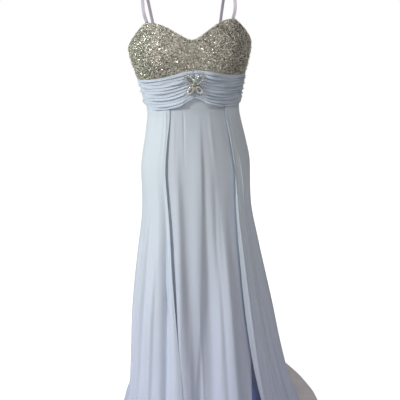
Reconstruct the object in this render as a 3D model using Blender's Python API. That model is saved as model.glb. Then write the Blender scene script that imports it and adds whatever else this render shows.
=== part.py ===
# Formal dress: a sleeveless full-length gown with a beaded bodice, a pleated midriff band, narrow straps,
# an overskirt that opens over a front panel, an underskirt with a short train, a butterfly brooch and
# a centre-back zip. Metres, +Z up, front towards -Y, origin at shoulder level on the body's axis.
# Heights are given above the floor. Turns are degrees round the body: 0 front, 90 at +X, 180 back.
import math
from collections import namedtuple

import bmesh
import bpy
import numpy as np

SHOULDER_HEIGHT = 1.445
SEAM_GAP = 0.0003
CLOTH = 0.0013

# The worn form, from the floor up: half the width, and the depth before and behind the axis.
Section = namedtuple("Section", "height half_width front back")
FORM = (
    Section(0.000, 0.335, 0.285, 0.360),
    Section(0.076, 0.307, 0.260, 0.325),
    Section(0.297, 0.255, 0.205, 0.250),
    Section(0.497, 0.223, 0.170, 0.200),
    Section(0.677, 0.194, 0.140, 0.165),
    Section(0.842, 0.168, 0.117, 0.138),
    Section(0.904, 0.163, 0.110, 0.126),
    Section(0.964, 0.158, 0.104, 0.116),
    Section(1.021, 0.144, 0.098, 0.104),
    Section(1.077, 0.130, 0.092, 0.092),
    Section(1.104, 0.125, 0.090, 0.087),
    Section(1.131, 0.127, 0.092, 0.086),
    Section(1.184, 0.137, 0.102, 0.090),
    Section(1.209, 0.144, 0.107, 0.093),
    Section(1.260, 0.156, 0.106, 0.097),
    Section(1.300, 0.155, 0.097, 0.098),
    Section(1.340, 0.148, 0.084, 0.096),
)

# Edges that run round the body: height at each turn, the same on both sides.
Edge = namedtuple("Edge", "turn height")
NECKLINE = (
    Edge(0, 1.284), Edge(4, 1.287), Edge(12, 1.299), Edge(22, 1.315), Edge(30, 1.323), Edge(35, 1.326),
    Edge(40, 1.327), Edge(47, 1.326), Edge(54, 1.314), Edge(64, 1.297), Edge(77, 1.280), Edge(90, 1.270),
    Edge(112, 1.260), Edge(145, 1.252), Edge(180, 1.250),
)
BAND_TOP = (Edge(0, 1.216), Edge(11, 1.213), Edge(25, 1.205), Edge(40, 1.199), Edge(70, 1.195), Edge(180, 1.194))
BAND_FOOT = (
    Edge(0, 1.150), Edge(8, 1.141), Edge(15, 1.132), Edge(30, 1.123), Edge(45, 1.119), Edge(62, 1.122),
    Edge(75, 1.128), Edge(100, 1.129), Edge(180, 1.122),
)

# Turns of the corners along the band's foot, which the layers of the skirt share.
SEAM_TURNS = (0, 4, 8, 12, 17, 23, 30, 35, 40, 47, 55, 64, 76, 90)
BACK_TURNS = (90, 101, 112, 123, 134, 145, 156, 168, 180)

CUP_TURN, CUP_SPREAD = 32.0, 19.0
CUP_HEIGHT, CUP_RISE, CUP_DEPTH = 1.238, 0.046, 0.013
PRINCESS_TURN = 43.5
SIDE_TURN = 90.0
BACK_TURN = 180.0

# The pleats of the band lie over a plain inside.
PLEATS, PLEAT_LEAST, PLEAT_RELIEF = 10, 0.0008, 0.0026
PLEAT_TOP_SHARE, PLEAT_WANDER = 0.55, 0.10
BAND_INSIDE = 0.0056

# Layers of the skirt: how far each lies inside the form, by distance below the band, and its height on the floor.
Inset = namedtuple("Inset", "below overskirt front_panel underskirt")
INSETS = (
    Inset(0.00, 0.0002, 0.0022, 0.0042),
    Inset(0.08, 0.0015, 0.0060, 0.0120),
    Inset(0.30, 0.0050, 0.0130, 0.0250),
    Inset(0.70, 0.0100, 0.0220, 0.0420),
    Inset(1.13, 0.0120, 0.0300, 0.0520),
)
FLOOR_LEVEL = {"overskirt": 0.0075, "front_panel": 0.0040, "underskirt": 0.0016}

# Train: how far each layer lies out along the floor, by turn.
Train = namedtuple("Train", "turn overskirt underskirt")
TRAIN = (
    Train(-180, 0.190, 0.270), Train(-150, 0.118, 0.190), Train(-129, 0.045, 0.080), Train(-112, 0.016, 0.018),
    Train(-90, 0.015, 0.015), Train(-60, 0.012, 0.012), Train(0, 0.012, 0.012), Train(45, 0.012, 0.030),
    Train(72, 0.013, 0.105), Train(90, 0.015, 0.125), Train(127, 0.070, 0.130), Train(150, 0.130, 0.200),
    Train(180, 0.190, 0.270),
)

# Folds of the skirt: a soft ridge that runs from the band to the hem, or a trough where its depth is negative.
# start and full are distances below the band where the fold begins and reaches its depth.
Fold = namedtuple("Fold", "turn_top turn_hem start full depth width")
OVERSKIRT_FOLDS = (
    Fold(-31, -22, 0.02, 0.30, 0.007, 5.0), Fold(-37, -31, 0.10, 0.45, -0.007, 4.0),
    Fold(-44, -41, 0.05, 0.40, 0.005, 4.5), Fold(-49, -49, 0.30, 0.70, 0.008, 4.0),
    Fold(-60, -64, 0.10, 0.60, 0.010, 6.0), Fold(-76, -82, 0.15, 0.70, 0.010, 6.5),
    Fold(-96, -100, 0.20, 0.70, 0.012, 7.0), Fold(-118, -116, 0.15, 0.80, 0.014, 6.5),
    Fold(-138, -132, 0.10, 0.70, 0.015, 6.5), Fold(-156, -149, 0.15, 0.80, 0.016, 6.5),
    Fold(-172, -168, 0.10, 0.80, 0.015, 6.0), Fold(174, 170, 0.12, 0.75, 0.015, 6.0),
    Fold(157, 151, 0.10, 0.80, 0.016, 6.5), Fold(137, 134, 0.15, 0.70, 0.014, 6.5),
    Fold(117, 117, 0.20, 0.80, 0.014, 6.5), Fold(97, 99, 0.15, 0.70, 0.012, 7.0),
    Fold(77, 82, 0.20, 0.70, 0.010, 6.0), Fold(61, 62, 0.25, 0.60, -0.006, 4.5),
    Fold(50, 52, 0.15, 0.60, 0.008, 5.5), Fold(44, 43, 0.05, 0.40, -0.006, 3.0),
    Fold(36, 37, 0.02, 0.30, 0.007, 4.5), Fold(-90, -90, 0.25, 0.60, 0.006, 26.0),
    Fold(-90, -90, 0.72, 1.00, -0.013, 26.0),
)
FRONT_FOLDS = (
    Fold(-24, -19, 0.10, 0.60, 0.005, 4.0), Fold(-13, -10, 0.10, 0.60, -0.005, 6.0),
    Fold(2, 1, 0.15, 0.60, -0.003, 5.0), Fold(12, 8, 0.05, 0.40, 0.005, 4.5),
    Fold(20, 16, 0.20, 0.70, 0.008, 5.0), Fold(30, 24, 0.20, 0.70, -0.004, 4.0),
)
UNDERSKIRT_FOLDS = (
    Fold(-140, -134, 0.60, 1.10, 0.0035, 7.0), Fold(-165, -160, 0.60, 1.10, 0.0030, 7.0),
    Fold(165, 160, 0.60, 1.10, 0.0030, 7.0), Fold(140, 136, 0.60, 1.10, 0.0035, 7.0),
    Fold(108, 112, 0.60, 1.10, 0.0030, 7.0), Fold(84, 88, 0.60, 1.10, 0.0035, 6.0),
)

# Free edges of the overskirt and of the front panel: turn at each distance below the band.
FreeEdge = namedtuple("FreeEdge", "below left_over right_over left_panel right_panel")
FREE_EDGES = (
    FreeEdge(0.00, -31.0, 37.0, -47.0, 47.0),
    FreeEdge(0.07, -33.5, 38.5, -46.5, 47.5),
    FreeEdge(0.16, -34.0, 37.0, -44.0, 46.5),
    FreeEdge(0.38, -29.7, 33.5, -39.0, 41.5),
    FreeEdge(0.66, -23.6, 32.3, -32.0, 38.0),
    FreeEdge(0.84, -20.7, 34.5, -28.0, 32.0),
    FreeEdge(1.12, -18.0, 41.0, -25.0, 23.0),
)

# Rows of corners down the skirt: shares of the drop to the floor, then of the stretch that lies on it.
FLOOR_SHARE = 0.86
LAYER_ROWS = ((0, 0.025, 0.05, 0.11, 0.18, 0.27, 0.38, 0.49, 0.60, 0.71, 0.82, 0.91, 0.97, 1.0), (0.3, 0.65, 1.0))
LINING_ROWS = ((0, 0.025, 0.05, 0.11, 0.20, 0.35, 0.50, 0.65, 0.80, 0.91, 0.97, 1.0), (0.25, 0.6, 1.0))

# Straps: the middle line of the right one, from the cup over the shoulder to the back.
StrapPoint = namedtuple("StrapPoint", "x y height")
STRAP = (
    StrapPoint(0.1085, -0.0640, 1.346), StrapPoint(0.1100, -0.0530, 1.375), StrapPoint(0.1105, -0.0380, 1.407),
    StrapPoint(0.1105, -0.0200, 1.434), StrapPoint(0.1100, 0.0000, 1.4455), StrapPoint(0.1080, 0.0220, 1.438),
    StrapPoint(0.1040, 0.0460, 1.412), StrapPoint(0.0980, 0.0660, 1.372), StrapPoint(0.0920, 0.0770, 1.330),
    StrapPoint(0.0870, 0.0810, 1.290),
)
STRAP_WIDTH, STRAP_THICKNESS, STRAP_STEPS = 0.008, 0.0014, 22
STRAP_BACK_TURN = 146.0

# Brooch: a butterfly plate with pierced wings, bent round the band, and the stones set on it.
BROOCH_HEIGHT = 1.182
BROOCH_PLATE = 0.0018
BROOCH_CLEARANCE = 0.0004
Wing = namedtuple("Wing", "x z length width lean")
WINGS = (Wing(0.0115, 0.0120, 0.0150, 0.0090, 50), Wing(0.0105, -0.0130, 0.0115, 0.0068, -52))
PIERCED_SHARE = 0.62
OUTLINE_CORNERS, HOLE_CORNERS = 96, 18
BODY_HALF_WIDTH, BODY_HALF_HEIGHT = 0.0046, 0.0150
Stone = namedtuple("Stone", "name x z width height rise")
STONES = (
    Stone("brooch_stone_centre", 0.0, 0.0012, 0.0078, 0.0115, 0.0032),
    Stone("brooch_stone_head", 0.0, 0.0118, 0.0042, 0.0042, 0.0022),
    Stone("brooch_stone_tail", 0.0, -0.0100, 0.0046, 0.0080, 0.0022),
    Stone("brooch_stone_upper_left", -0.0095, 0.0200, 0.0040, 0.0040, 0.0020),
    Stone("brooch_stone_upper_right", 0.0095, 0.0200, 0.0040, 0.0040, 0.0020),
    Stone("brooch_stone_lower_left", -0.0162, -0.0200, 0.0036, 0.0036, 0.0020),
    Stone("brooch_stone_lower_right", 0.0162, -0.0200, 0.0036, 0.0036, 0.0020),
)
STONE_SIDES, GIRDLE, TABLE = 12, 0.45, 0.6

# Zip at centre back: the tape inside, the slider at its top and the pull that hinges on the slider's pin.
ZIP_TOP, ZIP_FOOT = 1.244, 1.010
ZIP_TAPE_WIDTH, ZIP_TAPE_THICKNESS, ZIP_TAPE_CLEARANCE = 0.022, 0.0010, 0.0011
PIN_HEIGHT, PIN_OUT, PIN_RADIUS = 1.238, 0.0046, 0.0006
SLIDER_WIDTH, SLIDER_LENGTH, SLIDER_THICKNESS = 0.0060, 0.0090, 0.0016
EAR_THICKNESS, EAR_INSIDE, EAR_HALF = 0.0009, 0.0020, 0.0014
PULL_WIDTH, PULL_LENGTH, PULL_THICKNESS = 0.0034, 0.0150, 0.0010
PULL_EYE, EYE_WALL = 0.0010, 0.0008

# Colour, roughness and metallic value of each finish.
FINISHES = {
    "chiffon": ((0.62, 0.70, 0.86, 1.0), 0.75, 0.0),
    "lining": ((0.30, 0.29, 0.28, 1.0), 0.70, 0.0),
    "beaded": ((0.42, 0.38, 0.32, 1.0), 0.35, 0.4),
    "strap_satin": ((0.72, 0.70, 0.76, 1.0), 0.40, 0.0),
    "brooch_metal": ((0.62, 0.58, 0.46, 1.0), 0.28, 1.0),
    "crystal": ((0.80, 0.84, 0.84, 1.0), 0.05, 0.0),
    "green_stone": ((0.55, 0.68, 0.55, 1.0), 0.08, 0.0),
    "zip_tape": ((0.60, 0.66, 0.78, 1.0), 0.80, 0.0),
    "zip_metal": ((0.70, 0.72, 0.76, 1.0), 0.35, 1.0),
}


def smooth(value, places, amounts):
    # A smooth curve through a table's rows, level beyond its ends.
    places, amounts = np.asarray(places, float), np.asarray(amounts, float)
    slopes = np.gradient(amounts, places)
    i = np.clip(np.searchsorted(places, value) - 1, 0, len(places) - 2)
    step = places[i + 1] - places[i]
    t = np.clip((value - places[i]) / step, 0, 1)
    ends = amounts[i] * (1 + 2 * t) * (1 - t) ** 2 + amounts[i + 1] * t * t * (3 - 2 * t)
    return ends + step * (slopes[i] * t * (1 - t) ** 2 + slopes[i + 1] * t * t * (t - 1))


def column(table, name):
    return [getattr(row, name) for row in table]


def edge_height(edge, turn):
    # Straight from corner to corner, so that the pieces on both sides of a seam meet all along it.
    corners = np.array(SEAM_TURNS + BACK_TURNS[1:], float)
    return np.interp(np.abs(turn), corners, smooth(corners, column(edge, "turn"), column(edge, "height")))


def form_point(turn, height, out=0.0):
    # A point on the worn form, moved out along the section's own normal.
    turn, height, out = np.broadcast_arrays(turn, height, out)
    angle = np.radians(turn)
    places = column(FORM, "height")
    wide = smooth(height, places, column(FORM, "half_width"))
    front = smooth(height, places, column(FORM, "front"))
    back = smooth(height, places, column(FORM, "back"))
    deep = np.where(np.cos(angle) > 0, front, back)
    cup = ((np.abs(turn) - CUP_TURN) / CUP_SPREAD) ** 2 + ((height - CUP_HEIGHT) / CUP_RISE) ** 2
    away = out + CUP_DEPTH * np.exp(-cup)
    normal = np.stack([deep * np.sin(angle), -wide * np.cos(angle)], axis=-1)
    normal /= np.linalg.norm(normal, axis=-1, keepdims=True)
    x = wide * np.sin(angle) + away * normal[..., 0]
    y = -deep * np.cos(angle) + away * normal[..., 1]
    return np.stack([x, y, height], axis=-1)


def between(low_edge, high_edge, relief):
    # The surface between two edges that run round the body; up is 0 at the lower edge and 1 at the upper.
    def surface(turn, up):
        low, high = edge_height(low_edge, turn), edge_height(high_edge, turn)
        return form_point(turn, low + (high - low) * up, relief(turn, up))

    return surface


def plain(turn, up):
    return 0.0 * turn


def pleats(turn, up):
    # Rounded pleats that lap downwards, each a little uneven along its length.
    phase = up * PLEATS + PLEAT_WANDER * np.sin(np.radians(turn) * 3 + up * 9)
    share = phase - np.floor(phase)
    return PLEAT_LEAST + PLEAT_RELIEF * np.clip(1 - np.abs(share - PLEAT_TOP_SHARE) / 0.5, 0, 1)


def below_band(up):
    return np.minimum((1 - up) / FLOOR_SHARE, 1) * FREE_EDGES[-1].below


def layer_rows(rows):
    drop, lying = rows
    downs = [share * FLOOR_SHARE for share in drop] + [FLOOR_SHARE + share * (1 - FLOOR_SHARE) for share in lying]
    return 1 - np.array(downs[::-1])


class Drape:
    # One layer of the skirt: its line from the band to the floor and out along the floor, at every turn.
    TURNS = np.linspace(-180, 180, 181)
    SHARES = np.linspace(0, 1, 201)
    BEND = 4

    def __init__(self, layer, folds):
        self.layer, self.folds = layer, folds
        lines = [self.line(turn) for turn in self.TURNS]
        self.points = np.array([points for points, outs in lines])
        self.outs = np.array([outs for points, outs in lines])

    def inset(self, below):
        return smooth(below, column(INSETS, "below"), column(INSETS, self.layer))

    def reach(self, turn):
        kind = "underskirt" if self.layer == "underskirt" else "overskirt"
        return smooth(turn, column(TRAIN, "turn"), column(TRAIN, kind))

    def line(self, turn):
        top = edge_height(BAND_FOOT, np.array(turn)) - SEAM_GAP
        floor = FLOOR_LEVEL[self.layer]
        heights = np.linspace(top, floor, 200)
        hanging = form_point(turn, heights, -self.inset(top - heights))
        away = hanging[-1] - hanging[-1] * np.array([0, 0, 1])
        away = away / np.linalg.norm(away)
        lying = hanging[-1] + away * np.linspace(0, self.reach(turn), 40)[1:, None]
        path = np.vstack([hanging, lying])
        length = np.concatenate([[0], np.cumsum(np.linalg.norm(np.diff(path, axis=0), axis=1))])
        even = np.linspace(0, length[-1], 400)
        path = np.stack([np.interp(even, length, path[:, k]) for k in range(3)], axis=-1)
        bend = np.ones(2 * self.BEND + 1) / (2 * self.BEND + 1)
        for k in range(3):
            padded = np.pad(path[:, k], self.BEND, mode="reflect", reflect_type="odd")
            path[:, k] = np.convolve(padded, bend, mode="valid")
        path[:, 2] = np.maximum(path[:, 2], floor)
        along = np.gradient(path, axis=0)
        round_body = np.array([math.cos(math.radians(turn)), math.sin(math.radians(turn)), 0])
        out = np.cross(round_body, -along)
        out /= np.linalg.norm(out, axis=1, keepdims=True)
        floor_at = length[len(heights) - 1]
        rows = np.interp(self.SHARES, (0, FLOOR_SHARE, 1), (0, floor_at, length[-1]))
        path, out = (np.stack([np.interp(rows, even, a[:, k]) for k in range(3)], axis=-1) for a in (path, out))
        return path, out

    def look_up(self, table, turn, down):
        i = np.clip((turn + 180) / 360 * (len(self.TURNS) - 1), 0, len(self.TURNS) - 1.0001)
        j = np.clip(down * (len(self.SHARES) - 1), 0, len(self.SHARES) - 1.0001)
        a, b = i.astype(int), j.astype(int)
        s, t = (i - a)[..., None], (j - b)[..., None]
        near = table[a, b] * (1 - t) + table[a, b + 1] * t
        far = table[a + 1, b] * (1 - t) + table[a + 1, b + 1] * t
        return near * (1 - s) + far * s

    def fold_depth(self, turn, below):
        depth = 0.0 * turn
        for fold in self.folds:
            middle = fold.turn_top + (fold.turn_hem - fold.turn_top) * below / FREE_EDGES[-1].below
            grown = np.clip((below - fold.start) / (fold.full - fold.start), 0, 1)
            grown = grown * grown * (3 - 2 * grown)
            apart = (turn - middle + 180) % 360 - 180
            depth = depth + fold.depth * grown * np.exp(-((apart / fold.width) ** 2))
        return depth

    def surface(self, turn, up):
        turn, up = np.broadcast_arrays(turn, up)
        down = 1 - up
        point = self.look_up(self.points, turn, down)
        out = self.look_up(self.outs, turn, down)
        point = point + out * self.fold_depth(turn, below_band(up))[..., None]
        point[..., 2] = np.maximum(point[..., 2], FLOOR_LEVEL[self.layer])
        return point


def surface_normal(surface, turn, up):
    across = surface(turn + 0.2, up) - surface(turn - 0.2, up)
    along = surface(turn, np.minimum(up + 0.004, 1)) - surface(turn, np.maximum(up - 0.004, 0))
    normal = np.cross(across, along)
    return normal / np.linalg.norm(normal, axis=-1, keepdims=True)


def set_apart(points):
    # Draws a piece's edges in by half of the seam gap.
    points = points.copy()
    for grid in (points, points.swapaxes(0, 1)):
        for edge, inner in ((0, 1), (-1, -2)):
            step = grid[inner] - grid[edge]
            grid[edge] += step / np.linalg.norm(step, axis=-1, keepdims=True) * SEAM_GAP / 2
    return points


def stitch(faces, first, second):
    # Joins two rows of corners that may differ in number, as a strip of triangles.
    i = j = 0
    while i < len(first) - 1 or j < len(second) - 1:
        next_first = (i + 1) / (len(first) - 1)
        next_second = (j + 1) / (len(second) - 1)
        if j == len(second) - 1 or (i < len(first) - 1 and next_first <= next_second + 1e-9):
            faces.append((first[i], first[i + 1], second[j]))
            i += 1
        else:
            faces.append((first[i], second[j + 1], second[j]))
            j += 1


def grid_faces(grid):
    faces = []
    for i in range(grid.shape[0] - 1):
        for j in range(grid.shape[1] - 1):
            faces.append((grid[i, j], grid[i + 1, j], grid[i + 1, j + 1], grid[i, j + 1]))
    return faces


def finish_material(finish):
    colour, roughness, metallic = FINISHES[finish]
    material = bpy.data.materials.get(finish)
    if material is None:
        material = bpy.data.materials.new(finish)
        material.use_nodes = True
        shader = material.node_tree.nodes["Principled BSDF"]
        shader.inputs["Base Color"].default_value = colour
        shader.inputs["Roughness"].default_value = roughness
        shader.inputs["Metallic"].default_value = metallic
    return material


def add_object(name, corners, faces, finish, at=(0, 0, 0), parent=None):
    # A closed solid from its corners and faces, placed at a point that is given in the floor's heights.
    mesh = bpy.data.meshes.new(name)
    mesh.from_pydata([tuple(map(float, c)) for c in corners], [], [tuple(map(int, f)) for f in faces])
    shell = bmesh.new()
    shell.from_mesh(mesh)
    bmesh.ops.recalc_face_normals(shell, faces=shell.faces)
    shell.to_mesh(mesh)
    shell.free()
    mesh.shade_smooth()
    mesh.set_sharp_from_angle(angle=math.radians(40))
    mesh.materials.append(finish_material(finish))
    item = bpy.data.objects.new(name, mesh)
    bpy.context.scene.collection.objects.link(item)
    item.location = at
    item.parent = parent
    return item


def add_wall(name, outer, inner, finish):
    # A closed cloth wall between an outer and an inner grid with the same columns.
    outer, inner = set_apart(outer), set_apart(inner)
    out = np.arange(outer.shape[0] * outer.shape[1]).reshape(outer.shape[:2])
    ins = np.arange(inner.shape[0] * inner.shape[1]).reshape(inner.shape[:2]) + out.size
    faces = grid_faces(out) + [face[::-1] for face in grid_faces(ins)]
    stitch(faces, out[0], ins[0])
    stitch(faces, out[-1], ins[-1])
    stitch(faces, out[:, 0], ins[:, 0])
    stitch(faces, out[:, -1], ins[:, -1])
    corners = np.vstack([outer.reshape(-1, 3), inner.reshape(-1, 3)])
    corners[:, 2] -= SHOULDER_HEIGHT
    return add_object(name, corners, faces, finish)


def add_panel(name, surface, turns, ups, finish, thickness=CLOTH):
    # turns is one row of turns for the whole panel, or a row of them for each step up it.
    ups = np.asarray(ups, float)
    turns = np.asarray(turns, float)
    if turns.ndim == 1:
        turns = np.repeat(turns[:, None], len(ups), axis=1)
    up_grid = np.repeat(ups[None, :], turns.shape[0], axis=0)
    outer = surface(turns, up_grid)
    inner = outer - surface_normal(surface, turns, up_grid) * thickness
    return add_wall(name, outer, inner, finish)


def build_bodice():
    surface = between(BAND_TOP, NECKLINE, plain)
    cup = [turn for turn in SEAM_TURNS if turn < PRINCESS_TURN] + [PRINCESS_TURN]
    side = [PRINCESS_TURN, PRINCESS_TURN + 3] + [turn for turn in SEAM_TURNS if turn > PRINCESS_TURN + 3]
    ups = np.linspace(0, 1, 9)
    for part, turns in (("cup", cup), ("side", side), ("back", BACK_TURNS)):
        turns = np.array(turns, float)
        add_panel(f"bodice_{part}_right", surface, turns, ups, "beaded")
        add_panel(f"bodice_{part}_left", surface, -turns[::-1], ups, "beaded")


def build_band():
    outer_surface = between(BAND_FOOT, BAND_TOP, pleats)
    inner_surface = between(BAND_FOOT, BAND_TOP, lambda turn, up: 0 * turn - BAND_INSIDE)
    rows = np.linspace(0, 1, PLEATS * 3 + 1)
    inner_rows = np.linspace(0, 1, 6)
    front, back = np.array(SEAM_TURNS, float), np.array(BACK_TURNS, float)
    for part, turns in (("front", front), ("back", back)):
        for side, each in (("right", turns), ("left", -turns[::-1])):
            outer = outer_surface(each[:, None], rows[None, :])
            inner = inner_surface(each[:, None], inner_rows[None, :])
            add_wall(f"band_{part}_{side}", outer, inner, "chiffon")


def free_edge(name, ups):
    return smooth(below_band(ups), column(FREE_EDGES, "below"), column(FREE_EDGES, name))


def spread(first, last, shares, ups):
    shares = np.asarray(shares)[:, None]
    first, last = first + 0 * ups, last + 0 * ups
    return first[None, :] * (1 - shares) + last[None, :] * shares


def build_skirt():
    ups = layer_rows(LAYER_ROWS)
    over = Drape("overskirt", OVERSKIRT_FOLDS).surface
    right = spread(free_edge("right_over", ups), SIDE_TURN, np.linspace(0, 1, 17), ups)
    left = spread(-SIDE_TURN, free_edge("left_over", ups), np.linspace(0, 1, 18), ups)
    add_panel("overskirt_front_right", over, right, ups, "chiffon")
    add_panel("overskirt_front_left", over, left, ups, "chiffon")
    add_panel("overskirt_back_right", over, np.linspace(SIDE_TURN, BACK_TURN, 19), ups, "chiffon")
    add_panel("overskirt_back_left", over, np.linspace(-BACK_TURN, -SIDE_TURN, 19), ups, "chiffon")

    panel = Drape("front_panel", FRONT_FOLDS).surface
    left, right = free_edge("left_panel", ups), free_edge("right_panel", ups)
    inside = [turn for turn in SEAM_TURNS[1:] if turn < min(-left[-1], right[-1])]
    tops = np.array([left[-1], *(-turn for turn in inside[::-1]), 0, *inside, right[-1]])
    turns = spread(left, right, (tops - tops[0]) / (tops[-1] - tops[0]), ups)
    add_panel("skirt_front_panel", panel, turns, ups, "chiffon")

    under = Drape("underskirt", UNDERSKIRT_FOLDS).surface
    ups = layer_rows(LINING_ROWS)
    for part, turns in (("front", np.array(SEAM_TURNS, float)), ("back", np.array(BACK_TURNS, float))):
        add_panel(f"underskirt_{part}_right", under, turns, ups, "lining")
        add_panel(f"underskirt_{part}_left", under, -turns[::-1], ups, "lining")


def strap_line():
    # The strap's ends stand just off the bodice's top edge, at the princess seam and at the back.
    ends = []
    for turn in (PRINCESS_TURN, STRAP_BACK_TURN):
        x, y, height = form_point(turn, edge_height(NECKLINE, turn), -CLOTH / 2)
        ends.append(StrapPoint(float(x), float(y), float(height) + 2 * SEAM_GAP))
    rows = np.array([ends[0], *STRAP, ends[1]])
    length = np.concatenate([[0], np.cumsum(np.linalg.norm(np.diff(rows, axis=0), axis=1))])
    even = np.linspace(0, length[-1], STRAP_STEPS + 1)
    return np.stack([smooth(even, length, rows[:, k]) for k in range(3)], axis=-1)


def build_straps():
    line = strap_line()
    along = np.gradient(line, axis=0)
    for side, sign in (("right", 1), ("left", -1)):
        across = np.array([1.0, 0.0, 0.0])
        corners = []
        for point, run in zip(line, along):
            width = across - run * np.dot(across, run) / np.dot(run, run)
            width /= np.linalg.norm(width)
            out = np.cross(width, run)
            out /= np.linalg.norm(out)
            for w, o in ((-1, -1), (1, -1), (1, 1), (-1, 1)):
                corner = point + width * w * STRAP_WIDTH / 2 + out * o * STRAP_THICKNESS / 2
                corners.append(corner * np.array([sign, 1, 1]))
        corners = np.array(corners)
        for end in (slice(0, 4), slice(-4, None)):
            corners[end, 2] = corners[end, 2].mean()
        corners[:, 2] -= SHOULDER_HEIGHT
        rings = np.arange(len(corners)).reshape(-1, 4)
        faces = [tuple(rings[0]), tuple(rings[-1][::-1])]
        for a, b in zip(rings, rings[1:]):
            faces += [(a[k], b[k], b[(k + 1) % 4], a[(k + 1) % 4]) for k in range(4)]
        add_object(f"strap_{side}", corners, faces, "strap_satin")


def cut_sheet(name, outlines, thickness):
    # The mesh of a flat plate: the first outline is its edge and the others are holes through it.
    curve = bpy.data.curves.new(name, "CURVE")
    curve.dimensions = "2D"
    curve.fill_mode = "BOTH"
    curve.extrude = thickness / 2
    for outline in outlines:
        spline = curve.splines.new("POLY")
        spline.points.add(len(outline) - 1)
        for point, (x, y) in zip(spline.points, outline):
            point.co = (x, y, 0, 1)
        spline.use_cyclic_u = True
    holder = bpy.data.objects.new(name, curve)
    mesh = bpy.data.meshes.new_from_object(holder)
    bpy.data.objects.remove(holder)
    bpy.data.curves.remove(curve)
    shell = bmesh.new()
    shell.from_mesh(mesh)
    bmesh.ops.remove_doubles(shell, verts=shell.verts, dist=1e-6)
    bmesh.ops.triangulate(shell, faces=shell.faces)
    corners = [tuple(v.co) for v in shell.verts]
    shell.verts.index_update()
    faces = [tuple(v.index for v in f.verts) for f in shell.faces]
    shell.free()
    bpy.data.meshes.remove(mesh)
    return np.array(corners), faces


def oval(x, z, length, width, lean, count):
    angle = math.radians(lean)
    points = []
    for k in range(count):
        t = 2 * math.pi * k / count
        u, v = length * math.cos(t), width * math.sin(t)
        points.append((x + u * math.cos(angle) - v * math.sin(angle), z + u * math.sin(angle) + v * math.cos(angle)))
    return points


def butterfly_outline():
    # The furthest reach of wings and body in each direction from the middle.
    shapes = [oval(0, 0, BODY_HALF_WIDTH, BODY_HALF_HEIGHT, 0, 240)]
    for wing in WINGS:
        shapes.append(oval(wing.x, wing.z, wing.length, wing.width, wing.lean, 240))
        shapes.append([(-x, z) for x, z in shapes[-1]])
    outline = []
    for k in range(OUTLINE_CORNERS):
        t = 2 * math.pi * (k + 0.5) / OUTLINE_CORNERS
        way = (math.cos(t), math.sin(t))
        reach = 0.0
        for x, z in (point for shape in shapes for point in shape):
            if abs(x * way[1] - z * way[0]) < 0.0006 and x * way[0] + z * way[1] > reach:
                reach = x * way[0] + z * way[1]
        outline.append((reach * way[0], reach * way[1]))
    return outline


def band_front(x, height):
    # Where the pleats' tops stand at a place across the front of the band.
    turns = np.linspace(-30, 30, 241)
    ridge = form_point(turns, np.full(turns.shape, height), PLEAT_LEAST + PLEAT_RELIEF)
    return float(np.interp(x, ridge[:, 0], ridge[:, 1]))


def build_brooch():
    holes = []
    for wing in WINGS:
        length, width = wing.length * PIERCED_SHARE, wing.width * PIERCED_SHARE
        hole = oval(wing.x, wing.z, length, width, wing.lean, HOLE_CORNERS)
        holes += [hole, [(-x, z) for x, z in hole[::-1]]]
    corners, faces = cut_sheet("brooch_setting", [butterfly_outline(), *holes], BROOCH_PLATE)
    lean = brooch_lean()
    rise = np.array([band_front(c[0], BROOCH_HEIGHT) + lean * c[1] for c in corners])
    seat = np.array([band_front(c[0], BROOCH_HEIGHT + c[1]) for c in corners])
    rise += min(seat - rise) - BROOCH_CLEARANCE
    placed = [(c[0], r - BROOCH_PLATE / 2 - c[2], BROOCH_HEIGHT + c[1] - SHOULDER_HEIGHT)
              for c, r in zip(corners, rise)]
    add_object("brooch_setting", placed, faces, "brooch_metal")
    upright = rise - lean * corners[:, 1] - BROOCH_PLATE
    for stone in STONES:
        span = upright[np.abs(corners[:, 0] - stone.x) <= stone.width / 2 + 0.001]
        add_stone(stone, float(span.min()) - SEAM_GAP, lean)


def brooch_lean():
    # How far forward the band's front comes for each metre up, which the brooch follows.
    reach = WINGS[0].z + WINGS[0].width
    top, foot = band_front(0, BROOCH_HEIGHT + reach), band_front(0, BROOCH_HEIGHT - reach)
    return (top - foot) / (2 * reach)


def add_stone(stone, front, lean):
    # A cut stone: a flat back, a girdle and a smaller table at the front.
    corners = []
    for depth, share in ((0.0, 0.9), (GIRDLE, 1.0), (1.0, TABLE)):
        for k in range(STONE_SIDES):
            t = 2 * math.pi * k / STONE_SIDES
            x = stone.x + stone.width / 2 * share * math.cos(t)
            z = stone.z + stone.height / 2 * share * math.sin(t)
            corners.append((x, front + lean * z - stone.rise * depth, BROOCH_HEIGHT + z - SHOULDER_HEIGHT))
    rings = np.arange(len(corners)).reshape(-1, STONE_SIDES)
    faces = [tuple(rings[0]), tuple(rings[2][::-1])]
    for a, b in zip(rings, rings[1:]):
        faces += [(a[k], a[(k + 1) % STONE_SIDES], b[(k + 1) % STONE_SIDES], b[k]) for k in range(STONE_SIDES)]
    finish = "green_stone" if stone.name.endswith("centre") else "crystal"
    add_object(stone.name, corners, faces, finish)


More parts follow.
